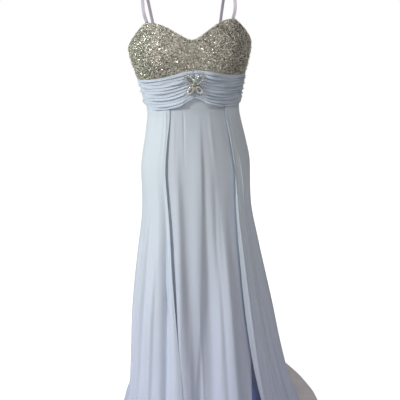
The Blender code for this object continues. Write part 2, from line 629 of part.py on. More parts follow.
def build_zip_tape():
    # The tape runs straight down inside the back seam, clear of the band and of the underskirt.
    heights = np.linspace(ZIP_FOOT, ZIP_TOP, 12)
    foot = edge_height(BAND_FOOT, np.array(BACK_TURN))
    rows = []
    for height in heights:
        below = max(foot - height, 0.0)
        inset = smooth(below, column(INSETS, "below"), column(INSETS, "underskirt")) + CLOTH
        rows.append(form_point(BACK_TURN, height, -max(inset, BAND_INSIDE) - ZIP_TAPE_CLEARANCE)[1])
    corners = []
    for y, height in zip(rows, heights):
        for x in (-0.5, 0.5):
            for depth in (0.0, ZIP_TAPE_THICKNESS):
                corners.append((x * ZIP_TAPE_WIDTH, y - depth, height - SHOULDER_HEIGHT))
    rings = np.arange(len(corners)).reshape(-1, 4)[:, [0, 1, 3, 2]]
    faces = [tuple(rings[0]), tuple(rings[-1][::-1])]
    for a, b in zip(rings, rings[1:]):
        faces += [(a[k], b[k], b[(k + 1) % 4], a[(k + 1) % 4]) for k in range(4)]
    add_object("zip_tape", corners, faces, "zip_tape")


def box_mesh(low, high):
    corners = [(x, y, z) for x in (low[0], high[0]) for y in (low[1], high[1]) for z in (low[2], high[2])]
    faces = [(0, 1, 3, 2), (4, 6, 7, 5), (0, 4, 5, 1), (2, 3, 7, 6), (0, 2, 6, 4), (1, 5, 7, 3)]
    return corners, faces


def build_zip_head():
    # The slider's body with two ears that hold a pin, and the pull on that pin; both hang on an empty at the pin.
    seat = float(form_point(BACK_TURN, PIN_HEIGHT, 0.0)[1])
    pin = bpy.data.objects.new("zip_pin_axis", None)
    bpy.context.scene.collection.objects.link(pin)
    pin.location = (0, seat + PIN_OUT, PIN_HEIGHT - SHOULDER_HEIGHT)

    clear = PIN_OUT - 2 * SEAM_GAP
    half_w, half_l = SLIDER_WIDTH / 2, SLIDER_LENGTH / 2
    low, high = (-half_w, -clear, -half_l), (half_w, -clear + SLIDER_THICKNESS, half_l)
    slider = add_object("zip_slider", *box_mesh(low, high), "zip_metal", parent=pin)
    pieces = []
    for sign in (-1, 1):
        inside, outside = sorted((sign * EAR_INSIDE, sign * (EAR_INSIDE + EAR_THICKNESS)))
        ear = box_mesh((inside, SLIDER_THICKNESS / 2 - clear, -EAR_HALF), (outside, EAR_HALF, EAR_HALF))
        pieces.append(add_object(f"ear_{sign}", *ear, "zip_metal", parent=pin))
    reach = EAR_INSIDE + EAR_THICKNESS / 2
    rod, faces = [], [tuple(range(12)), tuple(range(23, 11, -1))]
    for x in (-reach, reach):
        for k in range(12):
            t = 2 * math.pi * k / 12
            rod.append((x, PIN_RADIUS * math.cos(t), PIN_RADIUS * math.sin(t)))
    faces += [(k, 12 + k, 12 + (k + 1) % 12, (k + 1) % 12) for k in range(12)]
    pieces.append(add_object("pin", rod, faces, "zip_metal", parent=pin))
    for piece in pieces:
        piece.hide_render = True
        piece.display_type = "WIRE"
        join = slider.modifiers.new(piece.name, "BOOLEAN")
        join.operation = "UNION"
        join.object = piece

    return pin


def build_zip_pull(pin):
    # A plate that hangs flat, with a round eye at its top that the pin runs through from side to side.
    corners, faces = eye_plate(PULL_WIDTH / 2)
    add_object("zip_pull", corners, faces, "zip_metal", parent=pin)


def eye_plate(half):
    # A side view of the eye and the plate below it, drawn across the pin and given the pull's width.
    count = 20
    outer, inner = [], []
    for k in range(count):
        t = 2 * math.pi * k / count
        inner.append((PULL_EYE * math.cos(t), PULL_EYE * math.sin(t)))
    tab_half = PULL_THICKNESS / 2
    start = math.asin(tab_half / (PULL_EYE + EYE_WALL))
    for k in range(count + 1):
        t = -math.pi / 2 + start + (2 * math.pi - 2 * start) * k / count
        outer.append(((PULL_EYE + EYE_WALL) * math.cos(t), (PULL_EYE + EYE_WALL) * math.sin(t)))
    outer += [(-tab_half, -PULL_LENGTH), (tab_half, -PULL_LENGTH)]
    flat, faces = cut_sheet("zip_pull", [outer, inner], half * 2)
    corners = [(c[2], c[0], c[1]) for c in flat]
    return corners, faces


def main():
    for item in list(bpy.data.objects):
        bpy.data.objects.remove(item)
    build_bodice()
    build_band()
    build_skirt()
    build_straps()
    build_brooch()
    build_zip_tape()
    build_zip_pull(build_zip_head())


main()
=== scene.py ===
# The formal dress with its finished cloth, beading, brooch and zip, on a pale floor in soft studio light.
import math
from collections import namedtuple

import bpy
import numpy as np
from mathutils import Matrix, Vector


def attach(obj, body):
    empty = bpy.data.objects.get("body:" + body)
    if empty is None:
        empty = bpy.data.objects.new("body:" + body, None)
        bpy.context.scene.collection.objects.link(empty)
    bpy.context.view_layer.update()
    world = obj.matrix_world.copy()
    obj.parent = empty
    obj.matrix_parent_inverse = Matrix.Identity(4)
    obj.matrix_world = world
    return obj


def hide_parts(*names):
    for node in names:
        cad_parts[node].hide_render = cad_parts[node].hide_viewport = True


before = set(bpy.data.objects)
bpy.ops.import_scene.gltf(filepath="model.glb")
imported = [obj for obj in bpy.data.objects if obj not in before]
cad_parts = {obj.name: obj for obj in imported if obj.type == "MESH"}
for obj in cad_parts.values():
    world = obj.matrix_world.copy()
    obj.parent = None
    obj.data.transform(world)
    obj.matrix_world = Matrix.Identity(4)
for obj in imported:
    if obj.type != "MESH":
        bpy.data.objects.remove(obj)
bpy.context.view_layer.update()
print("frame loaded:", len(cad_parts), "nodes")

# sizes that the whole dress shares, in metres; heights are above the floor, and turns are degrees round
# the dress from its centre front, positive toward the right of the picture
dress = {
    "shoulderHeight": 1.445,
    "seamGap": 0.0003,
    "cloth": 0.0012,
    "floorShare": 0.86,  # how much of a skirt piece's rows hang, before the rest lies on the floor
    "drop": 1.12,
    "princess": 43.5,
}
dressSides = {"right": 1, "left": -1}


def tableOf(fields, *rows, **usual):
    # rows whose values have names; the last columns may be left out where they have a usual value
    rowKind = namedtuple("rowKind", fields, defaults=tuple(usual.values()))
    return [rowKind(*row) for row in rows]


form = tableOf(
    "height halfWidth front back",
    (0.000, 0.335, 0.285, 0.360), (0.076, 0.307, 0.260, 0.325), (0.297, 0.255, 0.205, 0.250),
    (0.497, 0.223, 0.170, 0.200), (0.677, 0.194, 0.140, 0.165), (0.842, 0.168, 0.117, 0.138),
    (0.904, 0.163, 0.110, 0.126), (0.964, 0.158, 0.104, 0.116), (1.021, 0.144, 0.098, 0.104),
    (1.077, 0.130, 0.092, 0.092), (1.104, 0.125, 0.090, 0.087), (1.131, 0.127, 0.092, 0.086),
    (1.184, 0.137, 0.102, 0.090), (1.209, 0.144, 0.107, 0.093), (1.260, 0.156, 0.106, 0.097),
    (1.300, 0.155, 0.097, 0.098), (1.340, 0.148, 0.084, 0.096),
)
neckline = tableOf(
    "turn height", (0, 1.284), (4, 1.287), (12, 1.299), (22, 1.315), (30, 1.323), (35, 1.326), (40, 1.327),
    (47, 1.326), (54, 1.314), (64, 1.297), (77, 1.280), (90, 1.270), (112, 1.260), (145, 1.252), (180, 1.250))
bandTop = tableOf("turn height", (0, 1.216), (11, 1.213), (25, 1.205), (40, 1.199), (70, 1.195), (180, 1.194))
bandFoot = tableOf(
    "turn height", (0, 1.150), (8, 1.141), (15, 1.132), (30, 1.123), (45, 1.119), (62, 1.122), (75, 1.128),
    (100, 1.129), (180, 1.122))
# edges run straight between these turns, as they do on the solids
edgeCorners = (0, 4, 8, 12, 17, 23, 30, 35, 40, 47, 55, 64, 76, 90, 101, 112, 123, 134, 145, 156, 168, 180)
cup = {"turn": 32.0, "spread": 19.0, "height": 1.238, "rise": 0.046, "depth": 0.013}


# lines, edges and surfaces

def unit(vectors):
    return vectors / np.linalg.norm(vectors, axis=-1, keepdims=True)


def lengthAlong(line):
    return np.concatenate([[0], np.cumsum(np.linalg.norm(np.diff(line, axis=0), axis=1))])


def pickAlong(places, length, line):
    return np.stack([np.interp(places, length, line[:, k]) for k in range(3)], axis=-1)


def smooth(value, places, amounts):
    # a curve through the amounts with no corners at the places
    places, amounts = np.asarray(places, float), np.asarray(amounts, float)
    slopes = np.gradient(amounts, places)
    i = np.clip(np.searchsorted(places, value) - 1, 0, len(places) - 2)
    step = places[i + 1] - places[i]
    t = np.clip((value - places[i]) / step, 0, 1)
    ends = amounts[i] * (1 + 2 * t) * (1 - t) ** 2 + amounts[i + 1] * t * t * (3 - 2 * t)
    return ends + step * (slopes[i] * t * (1 - t) ** 2 + slopes[i + 1] * t * t * (t - 1))


def reading(table, name, place):
    # the named column's value at a place along the first column
    return smooth(place, [row[0] for row in table], [getattr(row, name) for row in table])


def edgeHeight(edge, turn):
    corners = np.array(edgeCorners, float)
    return np.interp(np.abs(turn), corners, reading(edge, "height", corners))


def formPoint(turn, height, out=0.0):
    # a point on the dress's form, moved out along the section's own normal
    turn, height, out = np.broadcast_arrays(turn, height, out)
    angle = np.radians(turn)
    wide = reading(form, "halfWidth", height)
    deep = np.where(np.cos(angle) > 0, reading(form, "front", height), reading(form, "back", height))
    aside, above = (np.abs(turn) - cup["turn"]) / cup["spread"], (height - cup["height"]) / cup["rise"]
    away = out + cup["depth"] * np.exp(-(aside ** 2 + above ** 2))
    normal = unit(np.stack([deep * np.sin(angle), -wide * np.cos(angle)], axis=-1))
    x = wide * np.sin(angle) + away * normal[..., 0]
    y = -deep * np.cos(angle) + away * normal[..., 1]
    return np.stack([x, y, height], axis=-1)


def between(lowEdge, highEdge, relief):
    # the surface between two edges that run round the dress
    def surface(turn, up):
        low, high = edgeHeight(lowEdge, turn), edgeHeight(highEdge, turn)
        return formPoint(turn, low + (high - low) * up, relief(turn, up))

    return surface


def surfaceNormal(surface, turn, up):
    across = surface(turn + 0.1, up) - surface(turn - 0.1, up)
    along = surface(turn, np.minimum(up + 0.002, 1)) - surface(turn, np.maximum(up - 0.002, 0))
    return unit(np.cross(across, along))


def ripple(turn, up, seed, count=5, fast=0.35):
    # a sum of a few uneven waves along and across a panel, from -1 to 1 or so
    random = np.random.default_rng(seed)
    total = 0.0 * turn
    for k in range(count):
        across, along, start = random.uniform(0.05, fast), random.uniform(1, 9), random.uniform(0, 6.3)
        total = total + np.sin(turn * across + up * along + start) / count
    return total


# meshes and pieces

def lower(points):
    points = np.array(points, float)
    points[..., 2] -= dress["shoulderHeight"]
    return points


def meshFrom(name, points, faces, smoothed=True):
    # faces has one row for each face, all with the same number of corners
    mesh = bpy.data.meshes.new(name)
    count, corners = faces.shape
    mesh.vertices.add(len(points))
    mesh.vertices.foreach_set("co", np.asarray(points, np.float32).ravel())
    mesh.loops.add(count * corners)
    mesh.loops.foreach_set("vertex_index", np.asarray(faces, np.int32).ravel())
    mesh.polygons.add(count)
    mesh.polygons.foreach_set("loop_start", np.arange(0, count * corners, corners, dtype=np.int32))
    mesh.polygons.foreach_set("use_smooth", np.full(count, smoothed))
    mesh.update(calc_edges=True)
    mesh.validate()
    return mesh


def copies(name, shapes, faces, smoothed=True):
    # one mesh of many small shapes that all have the same faces
    starts = (np.arange(len(shapes)) * shapes.shape[1])[:, None, None]
    every = (starts + np.asarray(faces)[None]).reshape(-1, len(faces[0]))
    return meshFrom(name, lower(shapes.reshape(-1, 3)), every, smoothed)


def roundAndNext(count):
    k = np.arange(count)
    return k, (k + 1) % count


def addPiece(mesh, material, slot, replaces=()):
    # a piece has its mesh's name
    piece = bpy.data.objects.new(mesh.name, mesh)
    bpy.context.scene.collection.objects.link(piece)
    for each in material if isinstance(material, list) else [material]:
        mesh.materials.append(each)
    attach(piece, "dress")
    if replaces:
        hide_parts(*replaces)
    return piece


def drawIn(points):
    # draws a panel's edges in by half of the seam gap
    points = points.copy()
    for grid in (points, points.swapaxes(0, 1)):
        for edge, inner in ((0, 1), (-1, -2)):
            grid[edge] += unit(grid[inner] - grid[edge]) * dress["seamGap"] / 2
    return points


def shellMesh(name, outer, inner):
    # a closed thin wall between two grids of the same size
    cols, rows = outer.shape[:2]
    grid = np.arange(cols * rows).reshape(cols, rows)
    front = np.stack([grid[:-1, :-1], grid[1:, :-1], grid[1:, 1:], grid[:-1, 1:]], axis=-1).reshape(-1, 4)
    back = front[:, ::-1] + grid.size
    rim = np.concatenate([grid[:, 0], grid[-1, 1:], grid[-2::-1, -1], grid[0, -2:0:-1]])
    after = np.roll(rim, -1)
    wall = np.stack([after, rim, rim + grid.size, after + grid.size], axis=-1)
    points = np.vstack([outer.reshape(-1, 3), inner.reshape(-1, 3)])
    mesh = meshFrom(name, lower(points), np.vstack([front, back, wall]))
    mesh.set_sharp_from_angle(angle=math.radians(60))
    return mesh


def gridSizes(grid):
    # width, length and area of a panel, laid out flat
    width = np.linalg.norm(np.diff(grid, axis=0), axis=-1).sum(axis=0).max()
    length = np.linalg.norm(np.diff(grid, axis=1), axis=-1).sum(axis=1).max()
    across, along = grid[1:, :-1] - grid[:-1, :-1], grid[:-1, 1:] - grid[:-1, :-1]
    area = np.linalg.norm(np.cross(across, along), axis=-1).sum()
    return round(float(width), 3), round(float(length), 3), float(area)


def addCloth(node, ending, surface, turns, ups, material, slot, backing=None):
    # one cut piece of cloth as a thin shell; turns is a row, or a row for each step up
    name = node + ending
    if turns.ndim == 1:
        turns = np.repeat(turns[:, None], len(ups), axis=1)
    upGrid = np.repeat(ups[None, :], turns.shape[0], axis=0)
    outer = surface(turns, upGrid)
    if backing is None:
        inner = outer - surfaceNormal(surface, turns, upGrid) * dress["cloth"]
    else:
        inner = backing(turns, upGrid)
    piece = addPiece(shellMesh(name, drawIn(outer), drawIn(inner)), material, slot, replaces=(node,))
    width, length, area = gridSizes(outer)
    round(min(area, width * length), 4)


# shader nodes, and the groups that several finishes share

def setInput(tree, socket, value):
    # an input takes a fixed value, or a link from another node's output
    if isinstance(value, bpy.types.NodeSocket):
        tree.links.new(value, socket)
    else:
        socket.default_value = value


def setInputs(tree, node, values):
    for label, value in values.items():
        setInput(tree, node.inputs[label.replace("_", " ")], value)


def addNode(tree, kind, **values):
    node = tree.nodes.new("ShaderNode" + kind)
    setInputs(tree, node, values)
    return node


def mathNode(tree, operation, *values):
    node = tree.nodes.new("ShaderNodeMath")
    node.operation = operation
    for socket, value in zip(node.inputs, values):
        setInput(tree, socket, value)
    return node.outputs[0]


def mixColours(tree, factor, first, second):
    node = tree.nodes.new("ShaderNodeMix")
    node.data_type = "RGBA"
    setInputs(tree, node, {"Factor": factor, "A": first, "B": second})
    return node.outputs["Result"]


def objectPlace(tree):
    return tree.nodes.new("ShaderNodeTexCoord").outputs["Object"]


def axesOf(tree, place):
    return addNode(tree, "SeparateXYZ", Vector=place).outputs


def newGroup(name, inputs, outputs):
    # an input that starts as a colour is a colour, and any other is a number
    group = bpy.data.node_groups.new(name, "ShaderNodeTree")
    for label, value in inputs.items():
        kind = "NodeSocketColor" if isinstance(value, tuple) else "NodeSocketFloat"
        group.interface.new_socket(name=label, in_out="INPUT", socket_type=kind).default_value = value
    for label, kind in outputs.items():
        group.interface.new_socket(name=label, in_out="OUTPUT", socket_type="NodeSocket" + kind)
    return group, group.nodes.new("NodeGroupInput").outputs, group.nodes.new("NodeGroupOutput")


def buildWeaveGroup():
    # over and under threads of a plain weave, with slubs
    group, given, made = newGroup("plainWeave", {"Threads": 900.0, "Slub": 0.4}, {"Height": "Float"})
    place = objectPlace(group)
    axes = axesOf(group, place)
    ways = (mathNode(group, "ADD", axes["X"], axes["Y"]), axes["Z"])
    waves = [mathNode(group, "SINE", mathNode(group, "MULTIPLY", way, given["Threads"])) for way in ways]
    slub = addNode(group, "TexNoise", Vector=place, Scale=420.0)
    rough = mathNode(group, "MULTIPLY", slub.outputs["Fac"], given["Slub"])
    setInputs(group, made, {"Height": mathNode(group, "ADD", mathNode(group, "MULTIPLY", *waves), rough)})
    return group


def buildToneGroup():
    # a slow change between two colours, in long upright patches as cloth hangs
    group, given, made = newGroup(
        "softTone", {"Light": (1, 1, 1, 1), "Shade": (0.5, 0.5, 0.5, 1), "Scale": 9.0, "Stretch": 0.3},
        {"Color": "Color", "Mask": "Float"})
    axes = axesOf(group, objectPlace(group))
    upright = mathNode(group, "MULTIPLY", axes["Z"], given["Stretch"])
    drawn = addNode(group, "CombineXYZ", X=axes["X"], Y=axes["Y"], Z=upright)
    noise = addNode(group, "TexNoise", Vector=drawn.outputs[0], Scale=given["Scale"], Detail=3.0)
    span = addNode(group, "MapRange", Value=noise.outputs["Fac"], From_Min=0.35, From_Max=0.65)
    mask = span.outputs["Result"]
    setInputs(group, made, {"Color": mixColours(group, mask, given["Light"], given["Shade"]), "Mask": mask})
    return group


def buildCreaseGroup():
    # faint pressed creases and crepe grain
    group, given, made = newGroup("fineCrease", {"Scale": 30.0, "Sharpness": 0.6}, {"Height": "Float"})
    place = objectPlace(group)
    grain = mathNode(group, "MULTIPLY", given["Scale"], 14.0)
    broad = addNode(group, "TexNoise", Vector=place, Scale=given["Scale"], Detail=4.0)
    fine = addNode(group, "TexNoise", Vector=place, Scale=grain, Detail=2.0)
    small = mathNode(group, "MULTIPLY", fine.outputs["Fac"], given["Sharpness"])
    setInputs(group, made, {"Height": mathNode(group, "ADD", broad.outputs["Fac"], small)})
    return group


def buildFadeGroup():
    # carries a colour over to another one along the dress's height, or from back to front
    group, given, made = newGroup(
        "longFade", {"Color": (1, 1, 1, 1), "Other": (0.5, 0.5, 0.5, 1), "From": 0.0, "To": 1.0,
                     "Amount": 1.0, "Along Y": 0.0}, {"Color": "Color"})
    axes = axesOf(group, objectPlace(group))
    byY = mathNode(group, "MULTIPLY", axes["Y"], given["Along Y"])
    byZ = mathNode(group, "MULTIPLY", axes["Z"], mathNode(group, "SUBTRACT", 1.0, given["Along Y"]))
    span = addNode(group, "MapRange", Value=mathNode(group, "ADD", byY, byZ), From_Min=given["From"],
                   From_Max=given["To"])
    share = mathNode(group, "MULTIPLY", span.outputs["Result"], given["Amount"])
    setInputs(group, made, {"Color": mixColours(group, share, given["Color"], given["Other"])})
    return group


groups = {"weave": buildWeaveGroup(), "tone": buildToneGroup(), "crease": buildCreaseGroup(),
          "fade": buildFadeGroup()}


def addGroup(tree, kind, **values):
    node = tree.nodes.new("ShaderNodeGroup")
    node.node_tree = groups[kind]
    setInputs(tree, node, values)
    return node


def newMaterial(name, **values):
    material = bpy.data.materials.new(name)
    material.use_nodes = True
    shader = material.node_tree.nodes["Principled BSDF"]
    setInputs(material.node_tree, shader, values)
    return material, material.node_tree, shader


def clothMaterial(name, look):
    # woven cloth: two close tones, a weave, faint creases and a soft sheen
    material, tree, shader = newMaterial(
        name, Roughness=look["roughness"], Metallic=0.0, Sheen_Weight=look["sheen"], Sheen_Roughness=0.4,
        Specular_IOR_Level=look["specular"])
    tone = addGroup(tree, "tone", Light=look["light"], Shade=look["shade"], Scale=look["toneScale"],
                    Stretch=look["stretch"])
    fade = addGroup(tree, "fade", Color=tone.outputs["Color"], From=look["fadeFrom"], To=look["fadeTo"],
                    Amount=look["fadeAmount"], Other=look["fadeColour"], Along_Y=look["fadeAlongY"])
    weave = addGroup(tree, "weave", Threads=look["threads"], Slub=0.5)
    crease = addGroup(tree, "crease", Scale=look["creaseScale"], Sharpness=0.35)
    woven = addNode(tree, "Bump", Strength=look["weaveDepth"], Distance=0.0002,
                    Height=weave.outputs["Height"])
    creased = addNode(tree, "Bump", Strength=look["creaseDepth"], Distance=0.003,
                      Height=crease.outputs["Height"], Normal=woven.outputs["Normal"])
    setInputs(tree, shader, {"Base Color": fade.outputs["Color"], "Normal": creased.outputs["Normal"]})
    return material


def shinyMaterial(name, look):
    # metal, foil or glass, with a little wear in its gloss
    material, tree, shader = newMaterial(
        name, Metallic=look["metallic"], Roughness=look["roughness"],
        Transmission_Weight=look.get("clear", 0.0), IOR=look.get("bend", 1.5))
    tone = addGroup(tree, "tone", Light=look["light"], Shade=look["shade"], Scale=look["toneScale"],
                    Stretch=1.0)
    crease = addGroup(tree, "crease", Scale=look["wearScale"], Sharpness=0.8)
    bump = addNode(tree, "Bump", Strength=look["wear"], Distance=0.0004, Height=crease.outputs["Height"])
    setInputs(tree, shader, {"Base Color": tone.outputs["Color"], "Normal": bump.outputs["Normal"]})
    return material


# every cloth has the chiffon's look with its own changes
chiffonLook = {
    "light": (0.68, 0.74, 0.79, 1), "shade": (0.62, 0.67, 0.74, 1), "roughness": 0.6, "sheen": 0.15,
    "specular": 0.3, "toneScale": 5.0, "stretch": 0.25, "threads": 2600.0, "weaveDepth": 0.2,
    "creaseScale": 26.0, "creaseDepth": 0.05, "fadeColour": (0.64, 0.68, 0.88, 1), "fadeAmount": 0.75,
    "fadeFrom": -0.45, "fadeTo": -1.25, "fadeAlongY": 0.0,
}
clothLooks = {
    # the front panel's chiffon is a darker copy of the overskirt's below: its darker tone is painted shade
    "chiffon": {},
    "overChiffon": {"light": (0.76, 0.84, 0.88, 1), "shade": (0.71, 0.79, 0.85, 1)},
    "bandChiffon": {"light": (0.72, 0.79, 0.86, 1), "shade": (0.62, 0.69, 0.78, 1), "creaseDepth": 0.12},
    # the lining's front fades to a dark blue where it shows in the front slit: painted shade, with a painted
    # blue tint of the light that comes through the chiffon
    "liningCloth": {
        "light": (0.90, 0.86, 0.86, 1), "shade": (0.80, 0.76, 0.76, 1), "roughness": 0.8, "sheen": 0.1,
        "toneScale": 14.0, "stretch": 1.0, "creaseDepth": 0.4, "creaseScale": 18.0,
        "fadeColour": (0.20, 0.27, 0.66, 1), "fadeAmount": 1.0, "fadeFrom": -0.105, "fadeTo": -0.145,
        "fadeAlongY": 1.0},
    "beadNet": {
        "light": (0.20, 0.185, 0.15, 1), "shade": (0.12, 0.11, 0.09, 1), "sheen": 0.0, "toneScale": 60.0,
        "stretch": 1.0, "threads": 1500.0, "weaveDepth": 0.8, "fadeAmount": 0.0},
    "strapSatin": {
        "light": (0.74, 0.70, 0.78, 1), "shade": (0.66, 0.62, 0.72, 1), "roughness": 0.34, "sheen": 0.1,
        "specular": 0.5, "toneScale": 30.0, "threads": 2200.0, "fadeAmount": 0.0},
    "zipTape": {"roughness": 0.8, "threads": 1400.0, "weaveDepth": 0.7, "fadeAmount": 0.0},
    "thread": {"light": (0.78, 0.84, 0.90, 1), "shade": (0.70, 0.77, 0.86, 1), "roughness": 0.5},
}
sequinLooks = {
    "sequinPale": {"light": (0.86, 0.82, 0.71, 1), "shade": (0.74, 0.70, 0.59, 1), "roughness": 0.20},
    "sequinTaupe": {"light": (0.52, 0.465, 0.385, 1), "shade": (0.42, 0.375, 0.305, 1), "roughness": 0.36},
    "sequinSilver": {"light": (0.60, 0.59, 0.52, 1), "shade": (0.50, 0.49, 0.42, 1), "roughness": 0.36},
    "sequinDark": {"light": (0.22, 0.20, 0.15, 1), "shade": (0.15, 0.135, 0.10, 1), "roughness": 0.42},
    "sequinGreen": {"light": (0.60, 0.64, 0.46, 1), "shade": (0.50, 0.54, 0.38, 1), "roughness": 0.36},
}
shinyLooks = {
    "glassBead": {"light": (0.95, 0.93, 0.84, 1), "shade": (0.78, 0.76, 0.66, 1), "metallic": 0.3,
                  "roughness": 0.10, "toneScale": 150.0, "wear": 0.05, "wearScale": 200.0},
    "broochMetal": {"light": (0.34, 0.31, 0.22, 1), "shade": (0.12, 0.11, 0.08, 1), "metallic": 1.0,
                    "roughness": 0.30, "toneScale": 260.0, "wear": 0.35, "wearScale": 240.0},
    "wireMetal": {"light": (0.86, 0.84, 0.74, 1), "shade": (0.52, 0.48, 0.36, 1), "metallic": 1.0,
                  "roughness": 0.18, "toneScale": 320.0, "wear": 0.2, "wearScale": 240.0},
    "crystalGlass": {"light": (0.99, 1.0, 0.99, 1), "shade": (0.84, 0.88, 0.86, 1), "metallic": 0.15,
                     "roughness": 0.10, "toneScale": 420.0, "wear": 0.02, "wearScale": 90.0},
    "amberGlass": {"light": (0.80, 0.60, 0.32, 1), "shade": (0.60, 0.42, 0.20, 1), "metallic": 0.55,
                   "roughness": 0.12, "toneScale": 200.0, "wear": 0.02, "wearScale": 90.0},
    "greenGlass": {"light": (0.55, 0.74, 0.55, 1), "shade": (0.38, 0.60, 0.42, 1), "metallic": 0.0,
                   "roughness": 0.05, "clear": 0.5, "bend": 1.6, "toneScale": 120.0, "wear": 0.02,
                   "wearScale": 90.0},
    "zipMetal": {"light": (0.70, 0.73, 0.80, 1), "shade": (0.58, 0.61, 0.68, 1), "metallic": 0.8,
                 "roughness": 0.34, "toneScale": 200.0, "wear": 0.2, "wearScale": 260.0},
}
sequinFoil = {"metallic": 0.60, "toneScale": 200.0, "wear": 0.15, "wearScale": 300.0}
finishes = {name: clothMaterial(name, {**chiffonLook, **look}) for name, look in clothLooks.items()}
sequinFinishes = [shinyMaterial(name, {**look, **sequinFoil}) for name, look in sequinLooks.items()]
finishes.update((name, shinyMaterial(name, look)) for name, look in shinyLooks.items())
print("finishes made:", len(bpy.data.materials))


# skirt: its layers fall from the band to the floor and the back lies out as a train
insets = tableOf(
    "below overskirt frontPanel underskirt",
    (0.00, 0.0002, 0.0022, 0.0042), (0.08, 0.0015, 0.0060, 0.0120), (0.30, 0.0050, 0.0130, 0.0250),
    (0.70, 0.0100, 0.0220, 0.0420), (1.13, 0.0120, 0.0300, 0.0520))
floorLevel = {"overskirt": 0.0075, "frontPanel": 0.0040, "underskirt": 0.0016}
train = tableOf(
    "turn overskirt underskirt",
    (-180, 0.190, 0.270), (-150, 0.118, 0.190), (-129, 0.045, 0.080), (-112, 0.016, 0.018),
    (-90, 0.015, 0.015), (-60, 0.012, 0.012), (0, 0.012, 0.012),
    (45, 0.012, 0.030), (72, 0.013, 0.105), (90, 0.015, 0.125),
    (127, 0.070, 0.130), (150, 0.130, 0.200), (180, 0.190, 0.270))
foldColumns = "turnTop turnHem start full depth width"
overskirtFolds = tableOf(
    foldColumns,
    (-31, -22, 0.02, 0.30, 0.007, 5.0), (-37, -31, 0.10, 0.45, -0.007, 4.0),
    (-44, -41, 0.05, 0.40, 0.005, 4.5), (-49, -49, 0.30, 0.70, 0.008, 4.0),
    (-60, -64, 0.10, 0.60, 0.010, 6.0), (-76, -82, 0.15, 0.70, 0.010, 6.5),
    (-96, -100, 0.20, 0.70, 0.012, 7.0), (-118, -116, 0.15, 0.80, 0.014, 6.5),
    (-138, -132, 0.10, 0.70, 0.015, 6.5), (-156, -149, 0.15, 0.80, 0.016, 6.5),
    (-172, -168, 0.10, 0.80, 0.015, 6.0), (174, 170, 0.12, 0.75, 0.015, 6.0),
    (157, 151, 0.10, 0.80, 0.016, 6.5), (137, 134, 0.15, 0.70, 0.014, 6.5),
    (117, 117, 0.20, 0.80, 0.014, 6.5), (97, 99, 0.15, 0.70, 0.012, 7.0),
    (77, 82, 0.20, 0.70, 0.010, 6.0), (61, 62, 0.25, 0.60, -0.006, 4.5), (50, 52, 0.15, 0.60, 0.008, 5.5),
    (44, 43, 0.05, 0.40, -0.006, 3.0), (36, 37, 0.02, 0.30, 0.007, 4.5), (-90, -90, 0.25, 0.60, 0.006, 26.0),
    (-90, -90, 0.72, 1.00, -0.013, 26.0))
frontFolds = tableOf(
    foldColumns,
    (-24, -19, 0.10, 0.60, 0.005, 4.0), (-13, -10, 0.10, 0.60, -0.005, 6.0), (2, 1, 0.15, 0.60, -0.003, 5.0),
    (12, 8, 0.05, 0.40, 0.005, 4.5), (20, 16, 0.20, 0.70, 0.008, 5.0), (30, 24, 0.20, 0.70, -0.004, 4.0))
underskirtFolds = tableOf(
    foldColumns,
    (-140, -134, 0.60, 1.10, 0.0035, 7.0), (-165, -160, 0.60, 1.10, 0.0030, 7.0),
    (165, 160, 0.60, 1.10, 0.0030, 7.0), (140, 136, 0.60, 1.10, 0.0035, 7.0),
    (108, 112, 0.60, 1.10, 0.0030, 7.0), (84, 88, 0.60, 1.10, 0.0035, 6.0))
